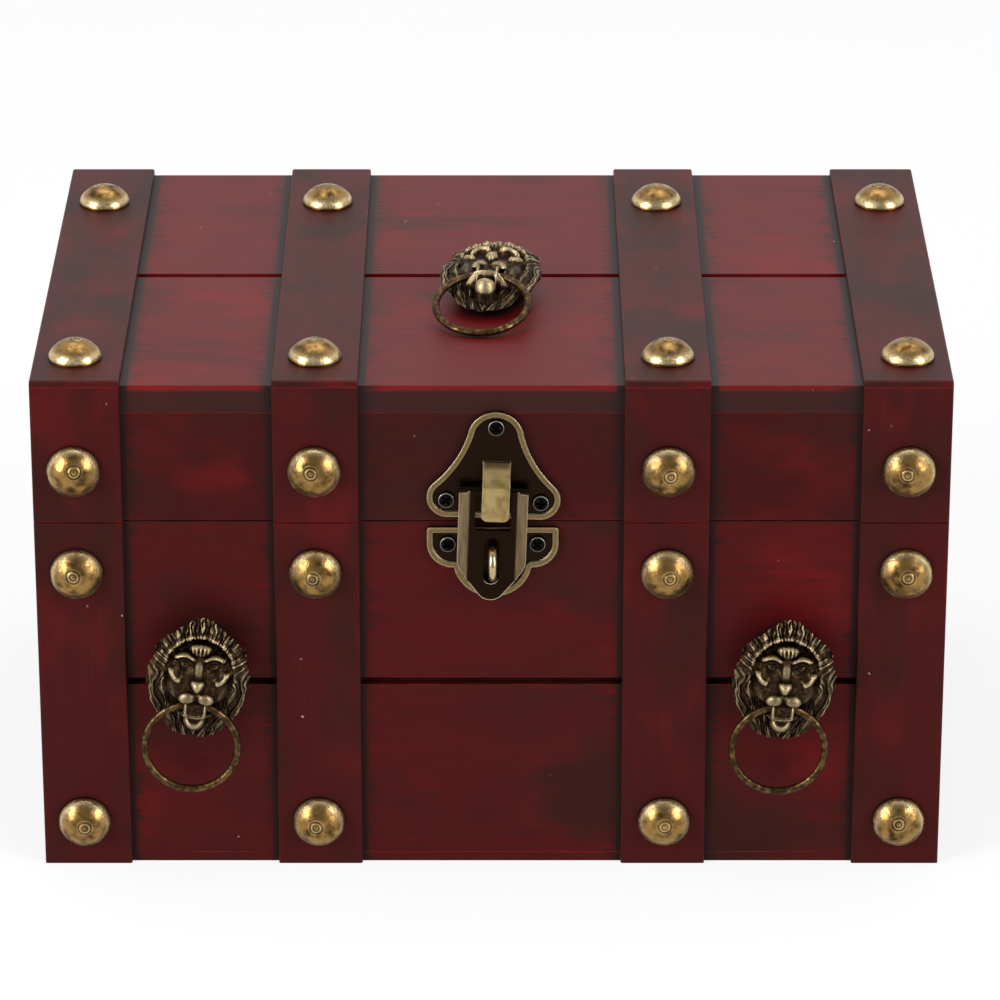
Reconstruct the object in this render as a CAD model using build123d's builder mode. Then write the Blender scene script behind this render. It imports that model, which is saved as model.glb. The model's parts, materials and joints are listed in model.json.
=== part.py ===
from build123d import *
import os
from math import acos, asin, cos, degrees, radians, sin, sqrt

os.makedirs("parts", exist_ok=True)

# A small wooden treasure chest with a hinged flat lid, nailed straps, three lion ring pulls and a hasp.
# X runs along the front, Y from front to back and Z up. The origin is the middle of the underside.
# Every length is in millimetres.

# Wooden box
box_length = 220.0
board_depth = 147.0
body_height = 91.3
lid_side_height = 27.9
lid_gap = 0.3
wall = 6.5
bottom_thickness = 2.4
top_thickness = 7.0
corner_round = 0.6

# Saw kerfs that part each wall into two planks
wall_kerf_width = 1.9
wall_kerf_depth = 2.5
wall_kerf_drop = 43.3
lid_kerf_width = 2.5
lid_kerf_depth = 3.0
lid_kerf_setback = 0.25

# Thin wooden straps
strap_thickness = 1.5
end_strap_width = 21.4
inner_strap_width = 20.6
end_bay_share = 0.26618
strap_round = 0.5
strap_end_round = 1.2

# Domed nails
stud_diameter = 13.0
stud_height = 4.9
nail_side = 1.6
nail_bite = 3.5
nail_clearance = 0.05
stud_from_end = 10.0
inner_stud_shift = 0.3
lid_stud_rise = 13.4
upper_stud_drop = 13.0
lower_stud_height = 11.7
top_stud_from_front = 14.0
top_stud_from_back = 25.0

# Lion heads: the casting's own sizes
lion_width = 25.6
lion_height = 33.9
lion_drop = 0.9
lion_blank = 12.0
lion_back_width = 16.6
lion_back_height = 26.0
lion_back_drop = 2.0
mane_radius = 20.0
mane_sweep = 62.0
mane_sink = 10.5
mane_rise = 3.0
lock_count = 20
lock_depth = 1.3
lock_width = 1.7
lock_swirl = 16.0
lock_valley_share = 0.955
lock_root_share = 0.6
mouth_drop = 6.4
mouth_out = 8.0
mouth_width = 9.0

# Lion heads: where each sits, left, right and on the lid, and how far the one screw let it turn clockwise
lion_bay_share = 0.5138
left_lion_rise = 4.6
right_lion_rise = 4.0
lid_lion_setback = 14.5
left_lion_turn = 6.5
right_lion_turn = 4.0
lid_lion_turn = 8.0

# Pull rings
ring_diameter = 22.6
ring_wire = 1.8
ring_clearance = 0.35
ring_inward = 18.0
ring_outward = 110.0
ring_seat_gap = 0.2

# Machine screws that hold the lion heads from inside
lion_screw_diameter = 3.0
lion_screw_bite = 4.5
lion_screw_head = 5.5
lion_screw_thickness = 1.8
screw_clearance = 0.1

# Hasp plates
hasp_offset = 0.3
hasp_turn = 2.0
plate_thickness = 0.8
plate_rim = 1.3
plate_rim_height = 1.3
upper_plate_width = 32.0
upper_plate_height = 27.4
upper_plate_rise = 1.2
lower_plate_width = 31.6
lower_plate_height = 18.1
lower_plate_drop = 1.3
plate_corner_round = 1.0

# Hasp tongue, punched from the upper plate and bent round the flap's top bar
tongue_width = 6.6
tongue_offset = 0.5
tongue_root = 15.6
tongue_crease = 11.2
tongue_tip = 2.2
tongue_stand = 5.9
tongue_slot = 13.0
tongue_bend = 1.2
tongue_tip_round = 1.4

# Hasp flap
flap_width = 16.6
flap_face_width = 11.2
flap_top = 9.9
flap_length = 29.0
flap_thickness = 0.9
flap_face_out = 4.1
flap_edge_out = 1.6
flap_bend = 1.3
flap_bar = 1.7
flap_bar_height = 9.2
flap_bar_out = 3.0
window_width = 8.6
window_top = 8.2
window_height = 9.1
slot_side_clearance = 0.8
slot_end_clearance = 1.4
slot_rise = 0.75

# Staple
staple_wire = 2.1
staple_span = 7.1
staple_leg = 3.6
staple_drop = 9.4

# Hasp screws
hasp_screw_head = 4.2
hasp_screw_thickness = 1.0
wood_screw_shank = 2.0
hasp_screw_bite = 5.0

# Butt hinges on the back
hinge_width = 25.0
hinge_leaf = 14.0
leaf_thickness = 0.8
knuckle_radius = 1.75
hinge_stand = 2.05
pin_diameter = 2.0
pin_clearance = 0.05
pin_head = 2.9
pin_head_height = 0.6
knuckle_share = 0.4
knuckle_clearance = 0.3
hinge_screw_inset = 4.6
hinge_screw_head = 3.6
hinge_screw_thickness = 0.8
hinge_screw_bite = 5.0
hinge_screw_spacing = 15.0

# Levels and planes worked out from the sizes above
lid_bottom = body_height + lid_gap
lid_shoulder = lid_bottom + lid_side_height
lid_top = lid_shoulder + top_thickness
split_height = body_height + lid_gap / 2
half_length = box_length / 2
half_depth = board_depth / 2
wall_kerf_height = body_height - wall_kerf_drop
staple_height = body_height - staple_drop
hinge_axis_y = half_depth + hinge_stand
strap_face = half_depth + strap_thickness
cut_over = wall
front = Plane(origin=(0, -half_depth, 0), x_dir=(1, 0, 0), z_dir=(0, -1, 0))
back = Plane(origin=(0, half_depth, 0), x_dir=(-1, 0, 0), z_dir=(0, 1, 0))
top = Plane(origin=(0, 0, lid_top), x_dir=(1, 0, 0), z_dir=(0, 0, 1))

# Where the straps lie along the box, and how wide each is. The clear length between them makes three
# bays, and the lion heads and the hinges sit in the two end ones.
end_bay = end_bay_share * (box_length - 2 * end_strap_width - 2 * inner_strap_width)
end_strap_offset = half_length - end_strap_width / 2
inner_strap_offset = half_length - end_strap_width - end_bay - inner_strap_width / 2
bay_offset = inner_strap_offset + inner_strap_width / 2 + lion_bay_share * end_bay
straps = {
    "left_end": (-end_strap_offset, end_strap_width),
    "left_inner": (-inner_strap_offset, inner_strap_width),
    "right_inner": (inner_strap_offset, inner_strap_width),
    "right_end": (end_strap_offset, end_strap_width),
}
inner_stud_offset = inner_strap_offset + inner_stud_shift
stud_offsets = (
    stud_from_end - half_length,
    -inner_stud_offset,
    inner_stud_offset,
    half_length - stud_from_end,
)
body_stud_heights = (lower_stud_height, body_height - upper_stud_drop)
lid_stud_heights = (lid_bottom + lid_stud_rise,)
top_stud_rows = (top_stud_from_front - half_depth, half_depth - top_stud_from_back)
left_lion_height = wall_kerf_height + left_lion_rise
right_lion_height = wall_kerf_height + right_lion_rise


def turned(plane, across, up, clockwise=0.0):
    """The plane moved across and up in itself and turned clockwise as it is looked at."""
    return Plane(plane * Location((across, up, 0), (0, 0, -clockwise)))


left_lion = turned(front, -bay_offset, left_lion_height, left_lion_turn)
right_lion = turned(front, bay_offset, right_lion_height, right_lion_turn)
lid_lion = turned(top, 0, -lid_lion_setback, lid_lion_turn)
hasp_lid = turned(front, hasp_offset, split_height, hasp_turn)
hasp_body = turned(front, hasp_offset, 0)


def finish(piece, label):
    """Name a finished piece and write it."""
    piece.part.label = label
    export_step(piece.part, f"parts/{label}.step")


def slab(x_span, y_span, z_span):
    """A sawn board between two limits along each axis."""
    with BuildPart() as board:
        with BuildSketch(Plane.XY.offset(z_span[0])):
            with Locations(((x_span[0] + x_span[1]) / 2, (y_span[0] + y_span[1]) / 2)):
                Rectangle(x_span[1] - x_span[0], y_span[1] - y_span[0])
        extrude(amount=z_span[1] - z_span[0])
    return board.part


def nail_holes(plane, places, depth):
    """Square holes driven into a face at the places where the domed nails go."""
    with BuildSketch(plane) as holes:
        with Locations(*places):
            Rectangle(nail_side + 2 * nail_clearance, nail_side + 2 * nail_clearance)
    extrude(holes.sketch, amount=-depth, mode=Mode.SUBTRACT)


def round_holes(plane, places, radius, depth):
    """Round holes sunk into a face."""
    with BuildSketch(plane) as holes:
        with Locations(*places):
            Circle(radius)
    extrude(holes.sketch, amount=-depth, mode=Mode.SUBTRACT)


def wall_kerf():
    """The saw kerf that runs round the outside of all four body boards."""
    with BuildSketch(Plane.XY.offset(wall_kerf_height)) as kerf:
        Rectangle(box_length + 2 * cut_over, board_depth + 2 * cut_over)
        Rectangle(box_length - 2 * wall_kerf_depth, board_depth - 2 * wall_kerf_depth, mode=Mode.SUBTRACT)
    extrude(kerf.sketch, amount=wall_kerf_width, mode=Mode.SUBTRACT)


def ease_corners(board, y_side):
    """Round the upright outer corners of a front or back board, front -1 and back 1."""
    upright = board.edges().filter_by(Axis.Z)
    outside = upright.filter_by(lambda e: abs(abs(e.center().X) - half_length) < corner_round)
    fillet(outside.filter_by(lambda e: abs(e.center().Y - y_side * half_depth) < corner_round), corner_round)


nail_depth = strap_thickness + nail_bite
body_nails = [(x, z) for x in stud_offsets for z in body_stud_heights]
lid_nails = [(x, z) for x in stud_offsets for z in lid_stud_heights]
top_nails = [(x, y) for x in stud_offsets for y in top_stud_rows]
body_hinge_z = split_height - hinge_leaf + hinge_screw_inset
lid_hinge_z = split_height + hinge_leaf - hinge_screw_inset
hinge_screw_offsets = [
    side * bay_offset + step * hinge_screw_spacing / 2 for side in (-1, 1) for step in (-1, 1)
]
lion_hole = lion_screw_diameter / 2 + screw_clearance
hasp_hole = wood_screw_shank / 2 + nail_clearance

# Hasp screw places: on the lid plate about its own turned axis, on the body plate about the box
lid_screw_shares = ((0, 0.854), (-0.71, 0.157), (0.71, 0.157))
body_screw_shares = ((-0.683, 0.24), (0.683, 0.24))
upper_half = upper_plate_width / 2
lower_half = lower_plate_width / 2
upper_base = upper_plate_rise
upper_top = upper_base + upper_plate_height
lid_hasp_screws = [
    (across * upper_half, upper_base + up * (upper_top - upper_base)) for across, up in lid_screw_shares
]
lower_plate_top = split_height - lower_plate_drop
body_hasp_screws = [
    (across * lower_half, lower_plate_top - down * lower_plate_height) for across, down in body_screw_shares
]


def body_long_board(plane, y_span, y_side, label):
    """The front or back board of the body, from end to end of the box."""
    with BuildPart() as board:
        add(slab((-half_length, half_length), y_span, (bottom_thickness, body_height)))
        ease_corners(board, y_side)
        wall_kerf()
        nail_holes(plane, body_nails, nail_bite)
        if y_side < 0:
            lions = [(-bay_offset, left_lion_height), (bay_offset, right_lion_height)]
            round_holes(plane, lions, lion_hole, wall)
            round_holes(hasp_body, body_hasp_screws, hasp_hole, hasp_screw_bite)
        else:
            places = [(-x, body_hinge_z) for x in hinge_screw_offsets]
            round_holes(plane, places, hasp_hole, hinge_screw_bite)
    finish(board, label)
    return board


def lid_long_board(plane, y_span, y_side, label):
    """The front or back board of the lid frame."""
    with BuildPart() as board:
        add(slab((-half_length, half_length), y_span, (lid_bottom, lid_shoulder)))
        ease_corners(board, y_side)
        nail_holes(plane, lid_nails, nail_bite)
        if y_side < 0:
            round_holes(hasp_lid, lid_hasp_screws, hasp_hole, hasp_screw_bite)
        else:
            places = [(-x, lid_hinge_z) for x in hinge_screw_offsets]
            round_holes(plane, places, hasp_hole, hinge_screw_bite)
    finish(board, label)
    return board


# Body of the box
front_span = (-half_depth, wall - half_depth)
back_span = (half_depth - wall, half_depth)
between = (wall - half_depth, half_depth - wall)
body_front_board = body_long_board(front, front_span, -1, "body_front_board")
body_back_board = body_long_board(back, back_span, 1, "body_back_board")
for side, x_span in (("left", (-half_length, wall - half_length)), ("right", (half_length - wall, half_length))):
    with BuildPart() as body_end_board:
        add(slab(x_span, between, (bottom_thickness, body_height)))
        wall_kerf()
    finish(body_end_board, f"body_{side}_board")
    with BuildPart() as lid_end_board:
        add(slab(x_span, between, (lid_bottom, lid_shoulder)))
    finish(lid_end_board, f"lid_{side}_board")

with BuildPart() as body_bottom_board:
    add(slab((-half_length, half_length), (-half_depth, half_depth), (0, bottom_thickness)))
    fillet(body_bottom_board.edges().filter_by(Axis.Z), corner_round)
finish(body_bottom_board, "body_bottom_board")

# Lid of the box
lid_front_board = lid_long_board(front, front_span, -1, "lid_front_board")
lid_back_board = lid_long_board(back, back_span, 1, "lid_back_board")

with BuildPart() as lid_top_board:
    add(slab((-half_length, half_length), (-half_depth, half_depth), (lid_shoulder, lid_top)))
    fillet(lid_top_board.edges().filter_by(Axis.Z), corner_round)
    with BuildSketch(top):
        with Locations((0, -lid_kerf_setback)):
            Rectangle(box_length + 2 * cut_over, lid_kerf_width)
    extrude(amount=-lid_kerf_depth, mode=Mode.SUBTRACT)
    nail_holes(top, top_nails, nail_bite)
    round_holes(lid_lion, [(0, 0)], lion_hole, top_thickness)
finish(lid_top_board, "lid_top_board")


def strap(plane, x, width, low, high, nails, label, end_round=0.0):
    """A thin strap laid on a face from low to high, its outer edges eased, and its ends too if asked."""
    with BuildPart() as lath:
        with BuildSketch(plane):
            with Locations((x, (low + high) / 2)):
                Rectangle(width, high - low)
        extrude(amount=strap_thickness)
        outer = lath.faces().sort_by(Axis(plane.origin, plane.z_dir))[-1]
        long_edges = outer.edges().filter_by(Axis(plane.origin, plane.y_dir))
        if end_round:
            fillet(outer.edges() - long_edges, end_round)
            outer = lath.faces().sort_by(Axis(plane.origin, plane.z_dir))[-1]
            long_edges = outer.edges().filter_by(Axis(plane.origin, plane.y_dir))
        fillet(long_edges, strap_round)
        nail_holes(plane.offset(strap_thickness), nails, strap_thickness)
    finish(lath, label)


# Straps: up the front and back of the body and the lid, and over the lid's top
for place, (x, width) in straps.items():
    stud_x = min(stud_offsets, key=lambda s: abs(s - x))
    for face, plane, sign in (("front", front, 1), ("back", back, -1)):
        body_places = [(sign * stud_x, z) for z in body_stud_heights]
        strap(plane, sign * x, width, 0, body_height, body_places, f"body_{face}_strap_{place}")
        lid_places = [(sign * stud_x, z) for z in lid_stud_heights]
        strap(plane, sign * x, width, lid_bottom, lid_top, lid_places, f"lid_{face}_strap_{place}")
    top_places = [(stud_x, y) for y in top_stud_rows]
    label = f"lid_top_strap_{place}"
    strap(top, x, width, -strap_face, strap_face, top_places, label, strap_end_round)


def studs(plane, places, label):
    """Domed nails with square shanks, driven through a strap."""
    ball = ((stud_diameter / 2) ** 2 + stud_height**2) / (2 * stud_height)
    edge_angle = degrees(acos(stud_diameter / 2 / ball))
    with BuildPart() as one:
        with BuildSketch(Plane.XZ):
            with BuildLine():
                Polyline((0, stud_height), (0, 0), (stud_diameter / 2, 0))
                CenterArc((0, stud_height - ball), ball, edge_angle, 90 - edge_angle)
            make_face()
        revolve(axis=Axis.Z)
        with BuildSketch():
            Rectangle(nail_side, nail_side)
        extrude(amount=-nail_depth)
    with BuildPart() as group:
        for across, up in places:
            add(one.part.moved(turned(plane.offset(strap_thickness), across, up).location))
    finish(group, label)


studs(front, body_nails, "body_front_studs")
studs(back, body_nails, "body_back_studs")
studs(front, lid_nails, "lid_front_studs")
studs(back, lid_nails, "lid_back_studs")
studs(top, top_nails, "lid_top_studs")


# The lion's face, as shares of the casting's half width, half height and blank thickness.
# Balls are (across, up, out, radius); one that is off the middle has its fellow on the other side.
ball_shares = (
    (0, 0.09, 0.06, 0.74),
    (0.2, -0.194, 0.7, 0.203),
    (0, -0.02, 0.83, 0.15),
    (0, -0.629, 0.48, 0.265),
    (0, 0.52, 0.64, 0.25),
    (0.31, 0.36, 0.7, 0.175),
    (0.43, 0.045, 0.61, 0.2),
    (0.75, 0.65, 0.56, 0.19),
)
socket_shares = ((0.28, 0.215, 0.93, 0.17),)
eye_shares = ((0.285, 0.22, 0.74, 0.1),)
nose_shares = (0.79, 0.135, 0.4)


def shared(across, up, out):
    """A point on the lion head from shares of its half width, half height and thickness."""
    return Vector(across * lion_width / 2, up * lion_height / 2, out * lion_blank)


def balls(places, mode):
    """Balls on the face, or hollows in it, in pairs where they are off the middle."""
    for across, up, out, radius in places:
        for side in (-1, 1) if across else (1,):
            with Locations(shared(side * across, up, out)):
                Sphere(radius * lion_width / 2, mode=mode)


def mane_level(across, up):
    """How far the mane's swept surface stands out at a point."""
    bow = sqrt(mane_radius**2 - across**2) + mane_sweep - mane_radius
    return sqrt(bow**2 - (up - mane_rise) ** 2) - mane_sweep + mane_radius - mane_sink


def rim_point(angle, share):
    """A point of the mane's oval at an angle, as a share of the oval."""
    return (
        share * lion_width / 2 * cos(radians(angle)),
        share * lion_height / 2 * sin(radians(angle)) - lion_drop,
    )


def mane_lock_cut(angle):
    """The groove between two locks, running from the face out over the rim."""
    outer = rim_point(angle, 1)
    inner = rim_point(angle + lock_swirl * cos(radians(angle)), lock_root_share)
    low = Vector(*outer, mane_level(*outer) - lock_depth)
    high = Vector(*inner, mane_level(*inner) - lock_depth / 2)
    run = low - high
    with BuildPart() as cut:
        with BuildSketch(Plane(origin=high, x_dir=run.cross(Vector(0, 0, 1)), z_dir=run)):
            with BuildLine():
                Polyline((0, 0), (-lock_width, -2 * lock_depth), (lock_width, -2 * lock_depth), close=True)
            make_face()
        extrude(amount=run.length + lock_width)
    return cut.part


def ring_plane(swing):
    """The plane of the ring, its origin in the mouth and its y axis towards the far side of the ring."""
    droop = radians(swing)
    return Plane(origin=(0, -mouth_drop, mouth_out), x_dir=(1, 0, 0), z_dir=(0, -sin(droop), -cos(droop)))


def round_ring(swing, wire):
    """A ring of round wire, hung in the mouth and swung out from the lion's back by an angle."""
    with BuildPart() as ring:
        with Locations(turned(ring_plane(swing), 0, ring_diameter / 2).location):
            Torus(ring_diameter / 2, wire / 2)
    return ring.part


def lion_head():
    """The cast lion head, lying on its back: a scalloped mane, the face on it and the open mouth."""
    step = 360 / lock_count
    angles = [90 + step * turn for turn in range(lock_count)]
    room = ring_wire + 2 * ring_clearance
    with BuildPart() as head:
        with BuildSketch():
            with BuildLine():
                for angle in angles:
                    ThreePointArc(
                        rim_point(angle - step / 2, lock_valley_share),
                        rim_point(angle, 1),
                        rim_point(angle + step / 2, lock_valley_share),
                    )
            make_face()
        extrude(amount=lion_blank)
        with Locations(Location((0, mane_rise, mane_radius - mane_sink - mane_sweep), (0, 90, 0))):
            Torus(mane_sweep - mane_radius, mane_radius, mode=Mode.INTERSECT)
        for angle in angles:
            add(mane_lock_cut(angle + step / 2), mode=Mode.SUBTRACT)
        for level in (0, lion_blank):
            with BuildSketch(Plane.XY.offset(level)):
                with Locations((0, -lion_back_drop)):
                    Ellipse(lion_back_width / 2 + level, lion_back_height / 2 + level)
        loft(mode=Mode.INTERSECT)
        balls(ball_shares, Mode.ADD)
        nose_out, nose_radius, nose_up = nose_shares
        with BuildSketch(Plane.XZ) as nose:
            with Locations((0, nose_out * lion_blank)):
                Circle(nose_radius * lion_width / 2)
        extrude(nose.sketch, amount=-nose_up * lion_height / 2)
        balls(socket_shares, Mode.SUBTRACT)
        balls(eye_shares, Mode.ADD)
        for swing in (-ring_inward, ring_outward):
            add(round_ring(swing, room), mode=Mode.SUBTRACT)
        with BuildSketch(Plane(origin=ring_plane(0).origin, z_dir=(1, 0, 0))) as mouth:
            Circle(room / 2)
        extrude(mouth.sketch, amount=mouth_width / 2, both=True, mode=Mode.SUBTRACT)
        with BuildSketch() as tapped:
            Circle(lion_screw_diameter / 2 + nail_clearance)
        extrude(tapped.sketch, amount=lion_screw_bite + nail_clearance, mode=Mode.SUBTRACT)
        with BuildSketch() as back_face:
            Rectangle(2 * lion_width, 2 * lion_height)
        extrude(back_face.sketch, amount=-lion_blank, mode=Mode.SUBTRACT)
    return head.part


def placed(shape, plane, label):
    """A copy of a shape made lying at the origin, set on a plane, named and written."""
    with BuildPart() as copy:
        add(shape.moved(plane.location))
    finish(copy, label)


# Lion heads on the front and the lid, each with its ring
cast_head = lion_head()
placed(cast_head, left_lion, "lion_head_left")
placed(cast_head, right_lion, "lion_head_right")
placed(cast_head, lid_lion, "lion_head_lid")


lid_ring_droop = degrees(asin((mouth_out - ring_wire / 2 - ring_seat_gap) / ring_diameter))
placed(round_ring(0, ring_wire), left_lion, "pull_ring_left")
placed(round_ring(0, ring_wire), right_lion, "pull_ring_right")
placed(round_ring(-lid_ring_droop, ring_wire), lid_lion, "pull_ring_lid")


def screws(seats, shank, length, head, thickness, label):
    """Screws, one at each seat: the shank runs in below the seat and the head stands on it."""
    with BuildPart() as one:
        with BuildSketch():
            Circle(head / 2)
        extrude(amount=thickness)
        with BuildSketch():
            Circle(shank / 2)
        extrude(amount=-length)
    with BuildPart() as group:
        for seat in seats:
            add(one.part.moved(seat.location))
    finish(group, label)


def inside_seat(lion, board):
    """Where a screw's head seats on the inside of the board that carries a lion."""
    return Plane(origin=lion.origin - lion.z_dir * board, x_dir=lion.x_dir, z_dir=-lion.z_dir)


front_seats = [inside_seat(left_lion, wall), inside_seat(right_lion, wall)]
front_length = wall + lion_screw_bite
lid_length = top_thickness + lion_screw_bite
lid_seats = [inside_seat(lid_lion, top_thickness)]
lion_screw_sizes = (lion_screw_head, lion_screw_thickness)
screws(front_seats, lion_screw_diameter, front_length, *lion_screw_sizes, "body_lion_screws")
screws(lid_seats, lion_screw_diameter, lid_length, *lion_screw_sizes, "lid_lion_screw")


# Hasp outlines, as shares of half width and height from the straight edge. Each run is a line or an arc.
upper_plate_shares = (
    ((0.72, 0), (1, 0.165), (0.895, 0.32)),
    ((0.895, 0.32), (0.585, 0.55), (0.415, 0.79)),
    ((0.415, 0.79), (0, 1)),
)
lower_plate_shares = (
    ((1, 0), (1, 0.24)),
    ((1, 0.24), (0.885, 0.475), (0.59, 0.575)),
    ((0.59, 0.575), (0, 1)),
)
flap_shares = (
    ((1, 0), (1, 0.66)),
    ((1, 0.66), (0.955, 0.725), (0.83, 0.776)),
    ((0.83, 0.776), (0.36, 0.945)),
    ((0.36, 0.945), (0, 1)),
)


def bell(half, base, height, runs):
    """An outline that is alike left and right, from a straight base to a round crown."""
    with BuildSketch() as outline:
        with BuildLine():
            Line((-half * runs[0][0][0], base), (half * runs[0][0][0], base))
            for side in (-1, 1):
                for run in runs[:-1]:
                    points = [(side * half * across, base + height * up) for across, up in run]
                    Line(*points) if len(points) == 2 else ThreePointArc(*points)
            shoulder, crown = runs[-1]
            level = base + height * shoulder[1]
            tip = (half * crown[0], base + height * crown[1])
            ThreePointArc((-half * shoulder[0], level), tip, (half * shoulder[0], level))
        make_face()
    return outline.sketch


def pressed_plate(plane, outline):
    """Sheet metal with a raised rim all round, laid on a face."""
    with BuildSketch(plane) as sheet:
        add(outline)
    extrude(sheet.sketch, amount=plate_thickness)
    with BuildSketch(plane) as rim:
        add(outline)
        offset(amount=-plate_rim, mode=Mode.SUBTRACT)
    extrude(rim.sketch, amount=plate_rim_height)


# Upper hasp plate on the lid, with the tongue that holds the flap's bar
with BuildPart() as tongue:
    side_view = turned(hasp_lid, tongue_offset, 0)
    with BuildSketch(Plane(origin=side_view.origin, x_dir=hasp_lid.y_dir, z_dir=hasp_lid.x_dir)):
        with BuildLine():
            tongue_out = tongue_stand - plate_thickness / 2
            tongue_bends = [
                (tongue_root, plate_thickness / 2),
                (tongue_crease, tongue_out),
                (tongue_tip, tongue_out),
            ]
            FilletPolyline(*tongue_bends, radius=tongue_bend)
        trace(line_width=plate_thickness)
    extrude(amount=tongue_width / 2, both=True)
    through = tongue.edges().filter_by(Axis(hasp_lid.origin, hasp_lid.z_dir))
    fillet(through.sort_by(Axis(hasp_lid.origin, hasp_lid.y_dir))[:2], tongue_tip_round)

with BuildPart() as hasp_upper_plate:
    pressed_plate(hasp_lid, bell(upper_half, upper_base, upper_plate_height, upper_plate_shares))
    round_holes(hasp_lid.offset(plate_thickness), lid_hasp_screws, hasp_hole, plate_thickness)
    with BuildSketch(hasp_lid) as punched:
        with Locations((tongue_offset, tongue_root)):
            Rectangle(tongue_width, tongue_slot, align=(Align.CENTER, Align.MAX))
    extrude(punched.sketch, amount=plate_thickness, mode=Mode.SUBTRACT)
    add(tongue.part)
finish(hasp_upper_plate, "hasp_upper_plate")

# Lower hasp plate on the body
staple_feet = [(0, staple_height + side * staple_span / 2) for side in (-1, 1)]
with BuildPart() as hasp_lower_plate:
    with BuildSketch() as lower_outline:
        add(bell(lower_half, lower_plate_top, -lower_plate_height, lower_plate_shares))
        fillet(lower_outline.vertices().group_by(Axis.Y)[-1], radius=plate_corner_round)
    pressed_plate(hasp_body, lower_outline.sketch)
    face = hasp_body.offset(plate_thickness)
    round_holes(face, body_hasp_screws, hasp_hole, plate_thickness)
    round_holes(face, staple_feet, staple_wire / 2 + nail_clearance, plate_thickness)
finish(hasp_lower_plate, "hasp_lower_plate")

# Hasp flap: a folded shield with a bar to hang by, a window for the tongue and a slot for the staple
slot_width = staple_wire + 2 * slot_side_clearance
slot_length = staple_span + staple_wire + 2 * slot_end_clearance
with BuildPart() as hasp_flap:
    bar_line = turned(hasp_lid, 0, flap_bar_height)
    with BuildSketch(Plane(origin=bar_line.origin, x_dir=hasp_lid.x_dir, z_dir=-hasp_lid.y_dir)) as fold:
        with BuildLine():
            face_out = flap_face_out - flap_thickness / 2
            edge_out = flap_edge_out + flap_thickness / 2
            folds = [
                (-flap_width / 2, edge_out),
                (-flap_face_width / 2, face_out),
                (flap_face_width / 2, face_out),
                (flap_width / 2, edge_out),
            ]
            FilletPolyline(*folds, radius=flap_bend)
        trace(line_width=flap_thickness)
    extrude(fold.sketch, amount=flap_length)
    with BuildSketch(hasp_lid) as shield:
        add(bell(flap_width / 2, flap_top, -flap_length, flap_shares))
        with Locations((0, window_top)):
            Rectangle(window_width, window_height, align=(Align.CENTER, Align.MAX), mode=Mode.SUBTRACT)
        with Locations((0, staple_height - split_height + slot_rise)):
            SlotOverall(slot_length, slot_width, rotation=90, mode=Mode.SUBTRACT)
    extrude(shield.sketch, amount=flap_face_out + flap_thickness, mode=Mode.INTERSECT)
    with BuildSketch(Plane(origin=bar_line.offset(flap_bar_out).origin, z_dir=hasp_lid.x_dir)) as bar:
        Circle(flap_bar / 2)
    extrude(bar.sketch, amount=flap_width / 2, both=True)
finish(hasp_flap, "hasp_flap")

# Staple riveted into the lower plate
with BuildPart() as hasp_staple:
    staple_line = turned(hasp_body, 0, staple_height)
    foot = staple_span / 2
    with BuildLine(Plane(origin=staple_line.origin, x_dir=hasp_body.y_dir, z_dir=hasp_body.x_dir)) as route:
        Line((-foot, 0), (-foot, staple_leg))
        ThreePointArc((-foot, staple_leg), (0, staple_leg + foot), (foot, staple_leg))
        Line((foot, staple_leg), (foot, 0))
    with BuildSketch(turned(staple_line, 0, -foot)):
        Circle(staple_wire / 2)
    sweep()
finish(hasp_staple, "hasp_staple")

# Hasp screws
hasp_screw_sizes = (
    wood_screw_shank,
    plate_thickness + hasp_screw_bite,
    hasp_screw_head,
    hasp_screw_thickness,
)
screws([turned(hasp_lid.offset(plate_thickness), *p) for p in lid_hasp_screws], *hasp_screw_sizes, "lid_hasp_screws")
screws([turned(hasp_body.offset(plate_thickness), *p) for p in body_hasp_screws], *hasp_screw_sizes, "body_hasp_screws")


def hinge_leaf_part(hinge, up, label):
    """One leaf with its share of the knuckles: the lid's (up 1) has the middle one, the body's (-1) the rest."""
    half = hinge_width / 2
    inner = hinge_width * knuckle_share / 2
    gap = knuckle_clearance / 2
    if up > 0:
        own, others = [(gap - inner, inner - gap)], [(-half, gap - inner), (inner - gap, half)]
    else:
        own, others = [(-half, -inner - gap), (inner + gap, half)], [(-inner - gap, inner + gap)]
    notch = knuckle_radius + knuckle_clearance
    with BuildPart() as leaf:
        with BuildSketch(hinge) as sheet:
            with Locations((0, up * hinge_leaf / 2)):
                Rectangle(hinge_width, hinge_leaf)
            for low, high in others:
                with Locations(((low + high) / 2, up * notch / 2)):
                    Rectangle(high - low, notch, mode=Mode.SUBTRACT)
        extrude(sheet.sketch, amount=leaf_thickness)
        for low, high in own:
            with BuildSketch(Plane(origin=hinge.offset(hinge_stand).origin, z_dir=hinge.x_dir).offset(low)) as ends:
                Circle(knuckle_radius)
            extrude(ends.sketch, amount=high - low)
        with BuildSketch(Plane(origin=hinge.offset(hinge_stand).origin, z_dir=hinge.x_dir)) as bore:
            Circle(pin_diameter / 2 + pin_clearance)
        extrude(bore.sketch, amount=half, both=True, mode=Mode.SUBTRACT)
        screw_level = up * (hinge_leaf - hinge_screw_inset)
        screw_places = [(step * hinge_screw_spacing / 2, screw_level) for step in (-1, 1)]
        round_holes(hinge.offset(leaf_thickness), screw_places, hasp_hole, leaf_thickness)
    finish(leaf, label)


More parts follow.
